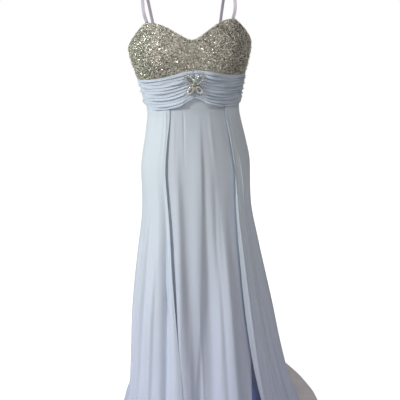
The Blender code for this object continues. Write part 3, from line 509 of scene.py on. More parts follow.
# creases that only the finished cloth has, each with its own width on its left and on its right; bow
# carries the middle sideways, and a crease is gone again by stop, or else runs on to the hem
creaseColumns = "turnTop turnHem bow start full depth left right stop"
toHem = 9.0
overskirtCreases = tableOf(
    creaseColumns,
    (-29, -19, 0.0, 0.04, 0.30, -0.0035, 4.0, 9.0), (-41, -57, 0.0, -0.04, 0.01, 0.0022, 1.6, 2.2, 0.16),
    (-37, -46, 0.0, -0.04, 0.02, 0.0026, 1.4, 1.8, 0.22),
    (-52, -74, 0.0, -0.04, 0.01, 0.0018, 1.8, 2.4, 0.12),
    (-45, -47, -1.0, 0.35, 0.60, 0.0050, 3.0, 1.2), (-51, -54, 0.0, 0.25, 0.60, 0.0042, 1.6, 3.4),
    (-38.5, -34.5, 0.5, 0.15, 0.60, -0.0100, 1.7, 2.6), (-57, -62, 0.0, 0.20, 0.60, -0.0065, 1.6, 2.2),
    (82, 84, 0.0, 0.08, 0.36, -0.0100, 18.0, 24.0, 0.98), (-62, -68, 1.5, 0.20, 0.60, 0.0040, 4.5, 2.0),
    (-72, -77, 1.0, 0.30, 0.80, -0.0035, 2.6, 3.2), (-84, -90, 0.0, 0.25, 0.80, 0.0030, 3.0, 1.8),
    (-107, -108, 1.0, 0.20, 0.80, -0.0040, 3.0, 2.4), (-128, -124, -1.0, 0.15, 0.70, -0.0045, 2.4, 3.0),
    (-136, -131, 1.0, 0.05, 0.60, 0.0035, 3.4, 1.4), (-147, -140, 1.0, 0.25, 0.80, -0.0045, 2.8, 2.2),
    (-156, -150, -1.0, 0.10, 0.80, 0.0035, 1.5, 3.2), (-164, -158, 0.0, 0.20, 0.80, -0.0040, 2.4, 2.8),
    (170, 163, 0.0, 0.20, 0.80, -0.0040, 2.8, 2.4), (157, 153, 1.0, 0.05, 0.60, 0.0035, 1.5, 3.2),
    (147, 142, 1.0, 0.20, 0.70, -0.0045, 2.4, 2.8), (127, 126, 1.0, 0.20, 0.80, -0.0045, 3.0, 2.4),
    (117, 119, -1.0, 0.15, 0.80, 0.0035, 1.4, 3.0), (107, 108, 1.0, 0.20, 0.80, -0.0040, 2.2, 3.0),
    (87, 90, 0.0, 0.20, 0.80, -0.0035, 2.6, 3.0), (76, 80, 1.0, 0.30, 0.80, 0.0040, 2.4, 4.0),
    (58, 58, -2.0, 0.12, 0.50, -0.0150, 5.5, 5.0), (64, 67, -1.0, 0.35, 0.80, 0.0030, 1.2, 3.0),
    (47, 46, -1.5, 0.00, 0.25, 0.0090, 3.0, 1.8), (38, 49, 0.0, -0.05, 0.00, 0.0026, 1.6, 1.0, 0.30),
    (41, 56, 0.0, -0.05, 0.01, 0.0020, 1.6, 1.2, 0.20), (42, 41.5, -0.5, 0.10, 0.40, -0.0050, 1.6, 1.4),
    (37.5, 40.5, -2.5, 0.00, 0.06, 0.0030, 0.8, 1.5), (50, 50, 0.0, 0.55, 0.90, 0.0035, 1.2, 2.4),
    (43, 66, 0.0, 0.06, 0.30, 0.0060, 4.2, 2.5), (60, 82, 0.0, 0.15, 0.45, 0.0060, 5.5, 4.0),
    (48, 78, 0.0, 0.10, 0.35, -0.0050, 1.8, 3.6), stop=toHem)
frontCreases = tableOf(
    creaseColumns,
    (5, -20, 2.0, 0.02, 0.20, 0.0050, 9.0, 2.4), (-20, -24, 0.0, 0.30, 0.70, 0.0040, 4.0, 3.0),
    (20, -8, 0.0, 0.12, 0.62, -0.0165, 13.0, 9.5), (-23, -16, 0.0, 0.06, 0.30, 0.0070, 8.0, 3.4),
    (-13, -15, 0.0, 0.50, 0.80, 0.0016, 1.3, 1.6), (-14, -12, 0.0, 0.00, 0.05, -0.0018, 1.2, 0.6, 0.16),
    (-4, -8, 0.0, 0.45, 0.80, 0.0018, 1.2, 1.3), (23, 1, 0.0, 0.10, 0.40, 0.0018, 2.0, 2.2),
    (16, 11, 0.0, 0.25, 0.60, -0.0025, 2.0, 1.8), (22.5, 18, 0.0, 0.12, 0.50, 0.0045, 2.8, 7.0),
    (31, 29, 0.0, 0.30, 0.75, 0.0020, 4.0, 4.0), (17, 18, 0.0, 0.00, 0.08, 0.0012, 2.0, 3.0, 0.30),
    (-26, -22, 0.0, 0.00, 0.06, 0.0010, 2.0, 1.2, 0.25), stop=toHem)
underskirtCreases = tableOf(
    creaseColumns,
    (60, 62, 0.0, 0.90, 1.12, 0.0030, 2.6, 1.4), (74, 77, 0.0, 0.90, 1.12, 0.0034, 2.2, 1.0),
    (97, 99, 0.0, 0.90, 1.12, 0.0028, 2.6, 1.2), (120, 124, 0.0, 0.90, 1.12, 0.0012, 3.0, 2.0),
    (-122, -126, 0.0, 0.90, 1.12, 0.0012, 3.0, 2.0), (-150, -147, 0.0, 0.90, 1.12, -0.0010, 3.0, 2.0),
    stop=toHem)
# the turns of the overskirt's and the front panel's free edges, from the band down
freeEdges = tableOf(
    "below leftOver rightOver leftPanel rightPanel",
    (0.00, -31.0, 37.0, -47.0, 47.0), (0.07, -33.5, 38.5, -46.5, 47.5), (0.16, -34.0, 37.0, -44.0, 46.5),
    (0.38, -29.7, 33.5, -39.0, 41.5), (0.66, -23.6, 32.3, -32.0, 38.0), (0.84, -20.7, 34.5, -28.0, 32.0),
    (1.12, -18.0, 41.0, -25.0, 23.0))
skirtDetail = {
    "frontStep": 0.75, "backStep": 0.9, "rows": 135, "liningStep": 2.0, "liningRows": 90,
    "hangingSteps": 200, "lyingSteps": 40, "lineSteps": 400,
    "bend": 4,  # how many of a line's steps its bend onto the floor is rounded over, each way
    "wander": 0.5, "waves": 7,
}


def belowBand(up):
    return np.minimum((1 - up) / dress["floorShare"], 1) * dress["drop"]


def turnApart(turn, middle):
    return (turn - middle + 180) % 360 - 180


class Drape:
    # one layer of the skirt: its line down to the floor and out along it, at every turn
    turns = np.linspace(-180, 180, 241)
    shares = np.linspace(0, 1, 301)

    def __init__(self, layer, folds, creases):
        self.layer, self.folds, self.creases = layer, folds, creases
        lines = [self.line(turn) for turn in self.turns]
        self.points = np.array([points for points, outs in lines])
        self.outs = np.array([outs for points, outs in lines])

    def line(self, turn):
        top = edgeHeight(bandFoot, np.array(turn)) - dress["seamGap"]
        floor = floorLevel[self.layer]
        heights = np.linspace(top, floor, skirtDetail["hangingSteps"])
        hanging = formPoint(turn, heights, -reading(insets, self.layer, top - heights))
        away = unit(hanging[-1] * np.array([1, 1, 0]))
        reach = reading(train, "underskirt" if self.layer == "underskirt" else "overskirt", turn)
        lying = hanging[-1] + away * np.linspace(0, reach, skirtDetail["lyingSteps"])[1:, None]
        path = np.vstack([hanging, lying])
        length = lengthAlong(path)
        even = np.linspace(0, length[-1], skirtDetail["lineSteps"])
        path = pickAlong(even, length, path)
        half = skirtDetail["bend"]
        kernel = np.ones(2 * half + 1) / (2 * half + 1)
        for k in range(3):
            padded = np.pad(path[:, k], half, mode="reflect", reflect_type="odd")
            path[:, k] = np.convolve(padded, kernel, mode="valid")
        path[:, 2] = np.maximum(path[:, 2], floor)
        roundDress = np.array([math.cos(math.radians(turn)), math.sin(math.radians(turn)), 0])
        out = unit(np.cross(roundDress, -np.gradient(path, axis=0)))
        rows = np.interp(self.shares, (0, dress["floorShare"], 1), (0, length[len(heights) - 1], length[-1]))
        return pickAlong(rows, even, path), pickAlong(rows, even, out)

    def lookUp(self, table, turn, down):
        i = np.clip((turn + 180) / 360 * (len(self.turns) - 1), 0, len(self.turns) - 1.0001)
        j = np.clip(down * (len(self.shares) - 1), 0, len(self.shares) - 1.0001)
        a, b = i.astype(int), j.astype(int)
        s, t = (i - a)[..., None], (j - b)[..., None]
        near = table[a, b] * (1 - t) + table[a, b + 1] * t
        far = table[a + 1, b] * (1 - t) + table[a + 1, b + 1] * t
        return near * (1 - s) + far * s

    def foldDepth(self, turn, below):
        depth = 0.0 * turn
        for fold in self.folds:
            middle = fold.turnTop + (fold.turnHem - fold.turnTop) * below / dress["drop"]
            grown = np.clip((below - fold.start) / (fold.full - fold.start), 0, 1)
            grown = grown * grown * (3 - 2 * grown)
            depth = depth + fold.depth * grown * np.exp(-((turnApart(turn, middle) / fold.width) ** 2))
        return depth

    def creaseDepth(self, turn, below):
        depth = 0.0 * turn
        way = below / dress["drop"]
        for crease in self.creases:
            middle = crease.turnTop + (crease.turnHem - crease.turnTop) * way
            middle = middle + crease.bow * 4 * way * (1 - way)
            middle = middle + skirtDetail["wander"] * np.sin(below * skirtDetail["waves"] + crease.turnTop)
            grown = np.clip((below - crease.start) / (crease.full - crease.start), 0, 1)
            fading = np.clip((crease.stop - below) / max(crease.stop - crease.full, 0.01), 0, 1)
            apart = turnApart(turn, middle)
            across = np.exp(-((apart / np.where(apart < 0, crease.left, crease.right)) ** 2))
            depth = depth + crease.depth * grown * (3 - 2 * grown) * grown * fading * across
        return depth

    def surface(self, turn, up):
        turn, up = np.broadcast_arrays(turn, up)
        below = belowBand(up)
        depth = self.foldDepth(turn, below) + self.creaseDepth(turn, below)
        out = self.lookUp(self.outs, turn, 1 - up)
        point = self.lookUp(self.points, turn, 1 - up) + out * depth[..., None]
        point[..., 2] = np.maximum(point[..., 2], floorLevel[self.layer])
        return point


def freeEdge(name, ups):
    return reading(freeEdges, name, belowBand(ups))


def spread(first, last, step, ups):
    # a grid of turns between two edges, each of them a turn or a row of turns
    first, last = first + 0 * ups, last + 0 * ups
    count = int(np.max(np.abs(last - first)) / step) + 2
    shares = np.linspace(0, 1, count)[:, None]
    return first[None, :] * (1 - shares) + last[None, :] * shares


def skirtRows(count):
    # rows lie closer together at the top and where the cloth meets the floor
    return np.unique(np.concatenate([
        np.linspace(0, 1 - dress["floorShare"], max(count // 8, 8)),
        np.linspace(1 - dress["floorShare"], 1, count)]))


over = Drape("overskirt", overskirtFolds, overskirtCreases)
panel = Drape("frontPanel", frontFolds, frontCreases)
under = Drape("underskirt", underskirtFolds, underskirtCreases)

ups = skirtRows(skirtDetail["rows"])
edges = {name: freeEdge(name, ups) for name in ("leftOver", "rightOver", "leftPanel", "rightPanel")}
for node, drape, first, last, part in (
        ("overskirt_front_right", over, edges["rightOver"], 90.0, "front"),
        ("overskirt_front_left", over, -90.0, edges["leftOver"], "front"),
        ("overskirt_back_right", over, 90.0, 180.0, "back"),
        ("overskirt_back_left", over, -180.0, -90.0, "back"),
        ("skirt_front_panel", panel, edges["leftPanel"], edges["rightPanel"], "front")):
    turns = spread(first, last, skirtDetail[part + "Step"], ups)
    cloth = finishes["overChiffon" if drape is over else "chiffon"]
    addCloth(node, "_cloth", drape.surface, turns, ups, cloth, "chiffon")
liningUps = skirtRows(skirtDetail["liningRows"])
for part, first in (("front_right", 0.0), ("back_right", 90.0), ("front_left", -90.0), ("back_left", -180.0)):
    turns = spread(first, first + 90.0, skirtDetail["liningStep"], liningUps)
    addCloth("underskirt_" + part, "_cloth", under.surface, turns, liningUps, finishes["liningCloth"],
             "lining")
print("skirt made")


# midriff band: uneven pleats that draw together at the centre seam and the side seams
bandDetail = {
    "frontStep": 0.7, "backStep": 1.1, "rows": 170, "behind": 0.0016, "least": 0.0006, "wander": 0.013,
    "deep": 2.3, "pinned": 0.0031, "pinnedTurn": 10.0, "freeTurn": 17.0, "freeHeight": 0.006,
    "pucker": 0.0006, "flattest": 0.0002,
}
pleatShape = {
    "swell": 0.72, "swellBy": 0.75, "least": 0.25, "most": 1.3,
    "edge": 0.2, "edgePower": 2.2, "tuck": 0.85, "tuckPower": 1.4,
    "bend": 0.12, "lines": ((0.30, 0.42, 0.07), (0.20, 0.70, 0.06)),  # each line's depth, place and width
    "turns": (0, 38, 88, 180), "seams": ((88, 7), (2, 5)),  # each seam's turn and how far its puckers reach
}
# each row is a pleat's lower edge, as a share of the band's height, at the centre front, halfway and the side
rightPleats = tableOf(
    "centre quarter side depth",
    (0.00, 0.00, 0.00, 0.0043), (0.09, 0.08, 0.10, 0.0035), (0.17, 0.21, 0.19, 0.0041),
    (0.28, 0.29, 0.31, 0.0026), (0.36, 0.41, 0.42, 0.0041), (0.47, 0.49, 0.50, 0.0029),
    (0.55, 0.62, 0.60, 0.0043), (0.67, 0.70, 0.72, 0.0026), (0.76, 0.81, 0.80, 0.0038),
    (0.89, 0.89, 0.92, 0.0032), (1.00, 1.00, 1.00, 0.0))
leftPleats = tableOf(
    "centre quarter side depth",
    (0.00, 0.00, 0.00, 0.0026), (0.07, 0.09, 0.08, 0.0030), (0.18, 0.17, 0.20, 0.0020),
    (0.26, 0.30, 0.28, 0.0030), (0.38, 0.38, 0.40, 0.0022), (0.45, 0.51, 0.49, 0.0030),
    (0.57, 0.60, 0.61, 0.0020), (0.66, 0.69, 0.70, 0.0028), (0.78, 0.80, 0.81, 0.0018),
    (0.87, 0.91, 0.90, 0.0028), (1.00, 1.00, 1.00, 0.0))


def pleatRelief(pleats, seed):
    shape = pleatShape

    def relief(turn, up):
        across = np.abs(turn)
        wander = bandDetail["wander"] * ripple(turn, 2 * up, seed, 6, 0.30) * np.sin(np.pi * up)
        place = np.clip(up + wander, 0, 1)
        near = np.minimum(across, 170)
        edges = [smooth(near, shape["turns"], (row.centre, row.quarter, row.side, row.side))
                 for row in pleats]
        height = 0.0 * turn
        for k, row in enumerate(pleats[:-1]):
            share = np.clip((place - edges[k]) / (edges[k + 1] - edges[k]), 0, 1)
            swell = shape["swell"] + shape["swellBy"] * ripple(turn, 0 * up, seed + 10 + k, 5, 0.16)
            swell = np.clip(swell, shape["least"], shape["most"])
            # each pleat has a rounded lower edge and tucks in under the one above
            full = 1 - (1 - np.clip(share / shape["edge"], 0, 1)) ** shape["edgePower"]
            full = full * (1 - shape["tuck"] * share ** shape["tuckPower"]) * (share < 1)
            # fine lines run along it, and wander
            bend = share + shape["bend"] * ripple(turn, 0 * up, seed + 30 + k, 4, 0.12)
            lines = 1.0
            for deep, at, wide in shape["lines"]:
                lines = lines - deep * np.exp(-((bend - at) / wide) ** 2)
            height = height + row.depth * bandDetail["deep"] * swell * full * lines
        # little puckers where the pleats are caught into the side seam and the centre seam
        caught = sum(np.exp(-((across - at) / wide) ** 2) for at, wide in shape["seams"])
        height = height + bandDetail["pucker"] * caught * np.sin(turn * 1.9 + up * 16) + bandDetail["least"]
        # the brooch's pin holds them flatter
        pinned = bandDetail["pinnedTurn"]
        free = np.clip((across - pinned) / (bandDetail["freeTurn"] - pinned), 0, 1)
        highest = bandDetail["pinned"] + bandDetail["freeHeight"] * free
        seam = np.clip(across / 1.6, 0.25, 1)
        return np.clip(height * seam, bandDetail["flattest"], highest)

    return relief


bandInside = between(bandFoot, bandTop, lambda turn, up: 0 * turn - bandDetail["behind"])
rows = np.linspace(0, 1, bandDetail["rows"])
for side, pleats, seed in (("right", rightPleats, 3), ("left", leftPleats, 40)):
    surface = between(bandFoot, bandTop, pleatRelief(pleats, seed))
    for part, first, last in (("front", 0.0, 90.0), ("back", 90.0, 180.0)):
        low, high = sorted((first * dressSides[side], last * dressSides[side]))
        turns = np.linspace(low, high, int(90 / bandDetail[part + "Step"]) + 1)
        addCloth(f"band_{part}_{side}", "_pleats", surface, turns, rows, finishes["bandChiffon"], "chiffon",
                 backing=bandInside)
print("band made")


# bodice: a net with sequins and beads sewn close together
bodiceDetail = {
    "turnStep": 1.0, "rows": 30, "quilting": 0.0006, "zipClear": 0.006,
    "pitch": 0.0023, "sequin": 0.00145, "sequinSizes": (0.8, 1.15), "corners": 6, "cupped": 0.0003,
    "tilt": 0.30, "stand": 0.0007,
    "beadPitch": 0.0050, "bead": 0.0009, "beadSizes": (0.7, 1.2), "beadStand": 0.0019,
    "rowPitch": 0.87,  # between staggered rows, as a share of the pitch along them
    "scatter": 0.35, "margin": 0.006,
}


def quilted(turn, up):
    return bodiceDetail["quilting"] * ripple(turn, up * 4, 77, 6, 0.6)


bodice = between(bandTop, neckline, quilted)
bodiceParts = []
for side, sign in dressSides.items():
    for part, first, last in (("cup", 0.0, dress["princess"]), ("side", dress["princess"], 90.0),
                              ("back", 90.0, 180.0)):
        low, high = sorted((first * sign, last * sign))
        turns = np.linspace(low, high, int((high - low) / bodiceDetail["turnStep"]) + 2)
        name = f"bodice_{part}_{side}"
        addCloth(name, "_net", bodice, turns, np.linspace(0, 1, bodiceDetail["rows"]), finishes["beadNet"],
                 "beaded")
        bodiceParts.append((name, low, high))


def scatter(surface, low, high, pitch, random):
    # places in loose staggered rows over a panel, with the surface's normal at each
    foot, top = surface(np.full(2, (low + high) / 2), np.array([0.0, 1.0]))
    tall = np.linalg.norm(top - foot)
    measured = np.linspace(low, high, 60)
    wide = lengthAlong(surface(measured, np.full(measured.shape, 0.6)))[-1]
    lines, each = max(int(tall / (pitch * bodiceDetail["rowPitch"])), 2), max(int(wide / pitch), 2)
    up, across = np.meshgrid((np.arange(lines) + 0.5) / lines, (np.arange(each) + 0.5) / each, indexing="ij")
    across = across + (np.arange(lines) % 2)[:, None] * 0.5 / each
    most = bodiceDetail["scatter"]
    up = (up + random.uniform(-most, most, up.shape) / lines).ravel()
    across = (across + random.uniform(-most, most, across.shape) / each).ravel()
    turn = low + (high - low) * np.clip(across, 0, 1)
    up = np.clip(up, bodiceDetail["margin"], 1 - bodiceDetail["margin"])
    places, normals = surface(turn, up), surfaceNormal(surface, turn, up)
    clear = (np.abs(places[:, 0]) > bodiceDetail["zipClear"]) | (places[:, 1] < 0)
    return places[clear], normals[clear]


def sequinMesh(name, places, normals, random):
    # cupped sequins, each a little tilted, all in one mesh
    lean = unit(normals + random.normal(0, bodiceDetail["tilt"], normals.shape))
    aside = unit(np.cross(lean, np.array([0.13, 0.21, 0.97])))
    along = np.cross(lean, aside)
    size = bodiceDetail["sequin"] * random.uniform(*bodiceDetail["sequinSizes"], len(places))
    centre = places + normals * bodiceDetail["stand"]
    k, after = roundAndNext(bodiceDetail["corners"])
    angles = k * math.pi / 3
    rim = centre[:, None] + size[:, None, None] * (
        np.cos(angles)[None, :, None] * aside[:, None] + np.sin(angles)[None, :, None] * along[:, None])
    rim = rim + lean[:, None] * bodiceDetail["cupped"]
    shapes = np.concatenate([centre[:, None], rim], axis=1)
    return copies(name, shapes, np.stack([0 * k, 1 + k, 1 + after], axis=-1), smoothed=False)


def ballMesh(name, centres, radii, sides=5):
    # small round beads, all in one mesh: a top, three rings and a foot each
    k, after = roundAndNext(sides)
    angles = k * 2 * math.pi / sides
    ball, faces = [np.array([[0, 0, 1.0]])], [np.stack([0 * k, 1 + k, 1 + after], axis=-1)]
    for ring, polar in enumerate((0.75, 1.6, 2.45)):
        ball.append(np.stack([np.sin(polar) * np.cos(angles), np.sin(polar) * np.sin(angles),
                              np.full(sides, math.cos(polar))], axis=-1))
        a, b = 1 + (ring - 1) * sides, 1 + ring * sides
        if ring:
            faces += [np.stack([a + k, b + k, b + after], axis=-1),
                      np.stack([a + k, b + after, a + after], axis=-1)]
    ball = np.vstack([*ball, [[0, 0, -1.0]]])
    faces.append(np.stack([b + k, np.full(sides, len(ball) - 1), b + after], axis=-1))
    shapes = centres[:, None] + ball[None] * np.asarray(radii)[:, None, None]
    return copies(name, shapes, np.vstack(faces))


# shares of the sequin finishes, in their order: the left side panel is paler and greener, which is painted
# light where the light falls on that side
toneShares = {"bodice_side_left": (0.24, 0.16, 0.20, 0.08, 0.32), "others": (0.17, 0.38, 0.24, 0.18, 0.03)}
for count, (name, low, high) in enumerate(bodiceParts):
    random = np.random.default_rng(100 + count)
    places, normals = scatter(bodice, low, high, bodiceDetail["pitch"], random)
    mesh = sequinMesh(name + "_sequins", places, normals, random)
    tones = random.choice(len(sequinFinishes), len(places), p=toneShares.get(name, toneShares["others"]))
    addPiece(mesh, sequinFinishes, "beaded")
    mesh.polygons.foreach_set("material_index", np.repeat(tones, bodiceDetail["corners"]).astype(np.int32))
    places, normals = scatter(bodice, low, high, bodiceDetail["beadPitch"], random)
    radii = bodiceDetail["bead"] * random.uniform(*bodiceDetail["beadSizes"], len(places))
    centres = places + normals * bodiceDetail["beadStand"]
    addPiece(ballMesh(name + "_beads", centres, radii), finishes["glassBead"], "beaded")

# uneven rows of larger beads close the neckline, and loose ones stand off the side seams
beadRows = {
    "pitch": 0.0032, "radius": 0.0013, "sizes": (0.65, 1.2), "uneven": 0.0009, "up": 0.985, "stand": 0.0012,
    "frontStart": 0.4, "backStop": 172.0, "sideRadius": 0.0011, "sideSizes": (0.7, 1.3), "sideRise": 0.0028,
    "sideCount": 150, "sideTurn": 88, "sideSpread": 9,
}
for side, sign in dressSides.items():
    random = np.random.default_rng(60 + sign)
    turns = sign * np.linspace(beadRows["frontStart"], beadRows["backStop"], 900)
    length = lengthAlong(bodice(turns, np.ones(turns.shape)))
    turns = np.interp(np.arange(0.001, length[-1], beadRows["pitch"]), length, turns)
    turns = turns + random.uniform(-0.25, 0.25, len(turns))
    row = np.full(len(turns), beadRows["up"])
    rim = bodice(turns, row) + surfaceNormal(bodice, turns, row) * beadRows["stand"]
    rim[:, 2] += random.uniform(-0.5, 1.0, len(turns)) * beadRows["uneven"]
    radii = beadRows["radius"] * random.uniform(*beadRows["sizes"], len(turns))
    addPiece(ballMesh(f"bodice_neckline_beads_{side}", rim, radii), finishes["glassBead"], "beaded")
    count = beadRows["sideCount"]
    turns = sign * (beadRows["sideTurn"] + random.normal(0, beadRows["sideSpread"], count))
    row = random.uniform(0.03, 0.97, count)
    rise = beadRows["stand"] + beadRows["sideRise"] * random.uniform(0, 1, count) ** 2
    loose = bodice(turns, row) + surfaceNormal(bodice, turns, row) * rise[:, None]
    radii = beadRows["sideRadius"] * random.uniform(*beadRows["sideSizes"], count)
    addPiece(ballMesh(f"bodice_side_beads_{side}", loose, radii), finishes["glassBead"], "beaded")
print("bodice made:", len(bodiceParts), "panels")


# narrow satin straps, each through these places from front to back: x, y and height
strapPoints = (
    (0.1085, -0.0640, 1.346), (0.1100, -0.0530, 1.375), (0.1105, -0.0380, 1.407), (0.1105, -0.0200, 1.434),
    (0.1100, 0.0000, 1.4455), (0.1080, 0.0220, 1.438), (0.1040, 0.0460, 1.412), (0.0980, 0.0660, 1.372),
    (0.0920, 0.0770, 1.330), (0.0870, 0.0810, 1.290),
)
strap = {"width": 0.008, "thickness": 0.0014, "steps": 110, "backTurn": 146.0}


def strapLine():
    ends = []
    for turn in (dress["princess"], strap["backTurn"]):
        end = formPoint(turn, edgeHeight(neckline, turn), -dress["cloth"] / 2)
        ends.append(end + np.array([0, 0, 2 * dress["seamGap"]]))
    rows = np.array([ends[0], *strapPoints, ends[1]])
    length = lengthAlong(rows)
    even = np.linspace(0, length[-1], strap["steps"] + 1)
    return np.stack([smooth(even, length, rows[:, k]) for k in range(3)], axis=-1), float(length[-1])


def strapMesh(name, line, sign):
    # a flat ribbon with rounded long edges and a slight dish between them
    run = unit(np.gradient(line, axis=0))
    wide = unit(np.array([1.0, 0, 0]) - run * run[:, :1])
    out = np.cross(wide, run)
    half, thick = strap["width"] / 2, strap["thickness"] / 2
    ring = ((-1, 0), (-0.97, -0.8), (-0.88, -1), (0, -0.8), (0.88, -1), (0.97, -0.8), (1, 0), (0.97, 0.8),
            (0.88, 1), (0, 0.72), (-0.88, 1), (-0.97, 0.8))
    points = np.stack([line + wide * w * half + out * o * thick for w, o in ring], axis=1)
    points = points * np.array([sign, 1, 1])
    count = len(ring)
    grid = np.arange(points.shape[0] * count).reshape(-1, count)
    after = np.roll(grid, -1, axis=1)
    faces = [np.stack([grid[:-1], grid[1:], after[1:], after[:-1]], axis=-1).reshape(-1, 4)]
    for r in (grid[0], grid[-1][::-1]):
        faces.append([(r[k], r[k + 1], r[count - 2 - k], r[count - 1 - k]) for k in range(count // 2 - 1)])
    faces = np.vstack(faces)
    return meshFrom(name, lower(points.reshape(-1, 3)), faces if sign > 0 else faces[:, ::-1])


line, length = strapLine()
for side, sign in dressSides.items():
    mesh = strapMesh(f"strap_{side}_ribbon", line, sign)
    piece = addPiece(mesh, finishes["strapSatin"], "strap_satin", replaces=(f"strap_{side}",))
    max(strap["width"], 0.01)
print("straps made")


# sewing: short stitches along the free edges and the hems
stitch = {
    "length": 0.0024, "gap": 0.0012, "radius": 0.00022, "raise": 0.0002, "sides": 5, "endGap": 0.002,
    "fromEdge": 1.8,  # in degrees
    "fromHem": 0.02,
}


def addStitches(name, surface, turns, ups):
    # small threads end to end along a line on the cloth
    line, outs = surface(turns, ups), surfaceNormal(surface, turns, ups)
    length = lengthAlong(line)
    starts = np.arange(stitch["endGap"], length[-1] - 2 * stitch["endGap"], stitch["length"] + stitch["gap"])
    first, last = pickAlong(starts, length, line), pickAlong(starts + stitch["length"], length, line)
    out = unit(pickAlong(starts, length, outs))
    aside = unit(np.cross(last - first, out))
    sides, radius = stitch["sides"], stitch["radius"]
    k, after = roundAndNext(sides)
    shapes = np.stack([end + out * stitch["raise"] + radius * (math.cos(t) * aside + math.sin(t) * out)
                       for end in (first, last) for t in 2 * math.pi * k / sides], axis=1)
    faces = np.stack([k, sides + k, sides + after, after], axis=-1)
    addPiece(copies(name, shapes, faces), finishes["thread"], "chiffon")


fineUps = np.linspace(0.004, 0.998, 700)
for name, drape, edge, shift in (
        ("overskirt_right", over, "rightOver", 1), ("overskirt_left", over, "leftOver", -1),
        ("front_panel", panel, "rightPanel", -1)):
    turns = freeEdge(edge, fineUps) + shift * stitch["fromEdge"]
    addStitches(name + "_edge_stitches", drape.surface, turns, fineUps)
hemTurns = np.linspace(-179.5, 179.5, 2400)
leftEnd, rightEnd = (freeEdge(name, np.array([stitch["fromHem"]]))[0] for name in ("leftOver", "rightOver"))
for side, turns in (("right", hemTurns[hemTurns > rightEnd]), ("left", hemTurns[hemTurns < leftEnd])):
    hem = np.full(turns.shape, stitch["fromHem"])
    addStitches(f"overskirt_{side}_hem_stitches", over.surface, turns, hem)
print("sewing made")


# brooch: a butterfly of wire loops and stones over the pierced plate
wings = tableOf(
    "x z length width lean", (0.0115, 0.0120, 0.0150, 0.0090, 50), (0.0105, -0.0130, 0.0115, 0.0068, -52))
stones = tableOf(
    "name x z width height rise finish slot",
    ("centre", 0.0, 0.0012, 0.0078, 0.0115, 0.0032, "greenGlass", "green_stone"),
    ("head", 0.0, 0.0118, 0.0042, 0.0042, 0.0022),
    ("tail", 0.0, -0.0100, 0.0046, 0.0080, 0.0022, "amberGlass"),
    ("upper_left", -0.0095, 0.0200, 0.0040, 0.0040, 0.0020),
    ("upper_right", 0.0095, 0.0200, 0.0040, 0.0040, 0.0020),
    ("lower_left", -0.0162, -0.0200, 0.0036, 0.0036, 0.0020),
    ("lower_right", 0.0162, -0.0200, 0.0036, 0.0036, 0.0020), finish="crystalGlass", slot="crystal")
brooch = {
    "height": 1.182, "seat": 0.0034, "facets": 16,
    "wire": 0.00055, "wireSides": 6, "wires": ((0.96, 40, 0.0006), (0.64, 40, 0.0006)),
    "bead": 0.00135, "smallBead": 0.0009, "beadSides": 8,
    # rows follow the wing: its share of the wing's size, how many places, how proud of the plate
    "beadRow": (0.82, 18, 0.0008), "smallRow": (0.58, 12, 0.0010),
}


def nodeCorners(name):
    return np.array([v.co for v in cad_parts[name].data.vertices])


def bandFront(x, height):
    # where the pleats' tops stand across the front of the band
    turns = np.linspace(-30, 30, 241)
    ridge = formPoint(turns, np.full(turns.shape, height), brooch["seat"])
    return float(np.interp(x, ridge[:, 0], ridge[:, 1]))


# the plate leans with the band; its face is found from the corners of the plate in the frame
reach = wings[0].z + wings[0].width
plateLean = (bandFront(0, brooch["height"] + reach) - bandFront(0, brooch["height"] - reach)) / (2 * reach)
middleZ = brooch["height"] - dress["shoulderHeight"]
plateShift = min(y - bandFront(x, brooch["height"]) - plateLean * (z - middleZ)
                 for x, y, z in nodeCorners("brooch_setting"))


def broochPoint(x, z, proud):
    face = bandFront(x, brooch["height"]) + plateLean * z + plateShift
    return np.array([x, face - proud, brooch["height"] + z])


def tubeMesh(name, paths, radius):
    # closed loops of wire, all in one mesh
    points, faces, start, sides = [], [], 0, brooch["wireSides"]
    out = np.array([0.0, -1.0, 0.0])
    for path in np.asarray(paths):
        run = unit(np.roll(path, -1, axis=0) - np.roll(path, 1, axis=0))
        aside = unit(np.cross(run, out))
        points += [path + radius * (math.cos(t) * aside + math.sin(t) * out)
                   for t in np.arange(sides) * 2 * math.pi / sides]
        grid = start + np.arange(sides * len(path)).reshape(sides, -1).T
        nextRow, after = np.roll(grid, -1, axis=0), np.roll(grid, -1, axis=1)
        faces.append(np.stack([grid, nextRow, np.roll(nextRow, -1, axis=1), after], axis=-1).reshape(-1, 4))
        start += grid.size
    return meshFrom(name, lower(np.vstack(points)), np.vstack(faces))


def wingLoop(wing, sign, share, count, proud):
    angle = math.radians(wing.lean)
    loop = []
    for k in range(count):
        t = 2 * math.pi * k / count
        u, v = wing.length * share * math.cos(t), wing.width * share * math.sin(t)
        x = wing.x + u * math.cos(angle) - v * math.sin(angle)
        z = wing.z + u * math.sin(angle) + v * math.cos(angle)
        loop.append(broochPoint(sign * x, z, proud))
    return loop[::sign]


loops, beadPlaces, smallPlaces = [], [], []
for wing in wings:
    for sign in (1, -1):
        loops += [wingLoop(wing, sign, *row) for row in brooch["wires"]]
        beadPlaces += wingLoop(wing, sign, *brooch["beadRow"])
        smallPlaces += wingLoop(wing, sign, *brooch["smallRow"])
addPiece(tubeMesh("brooch_wires", loops, brooch["wire"]), finishes["wireMetal"], "brooch_metal")
beadRadii = [brooch["bead"]] * len(beadPlaces) + [brooch["smallBead"]] * len(smallPlaces)
places = np.array(beadPlaces + smallPlaces)
addPiece(ballMesh("brooch_rhinestones", places, beadRadii, brooch["beadSides"]), finishes["crystalGlass"],
         "crystal")

# rings of a cut stone from its girdle up to its table: how far up, how wide, and how far turned on
facetRings = ((0.0, 0.90, 0), (0.30, 1.0, 0), (0.45, 1.0, 0.5), (0.78, 0.80, 0), (1.0, 0.56, 0.5))


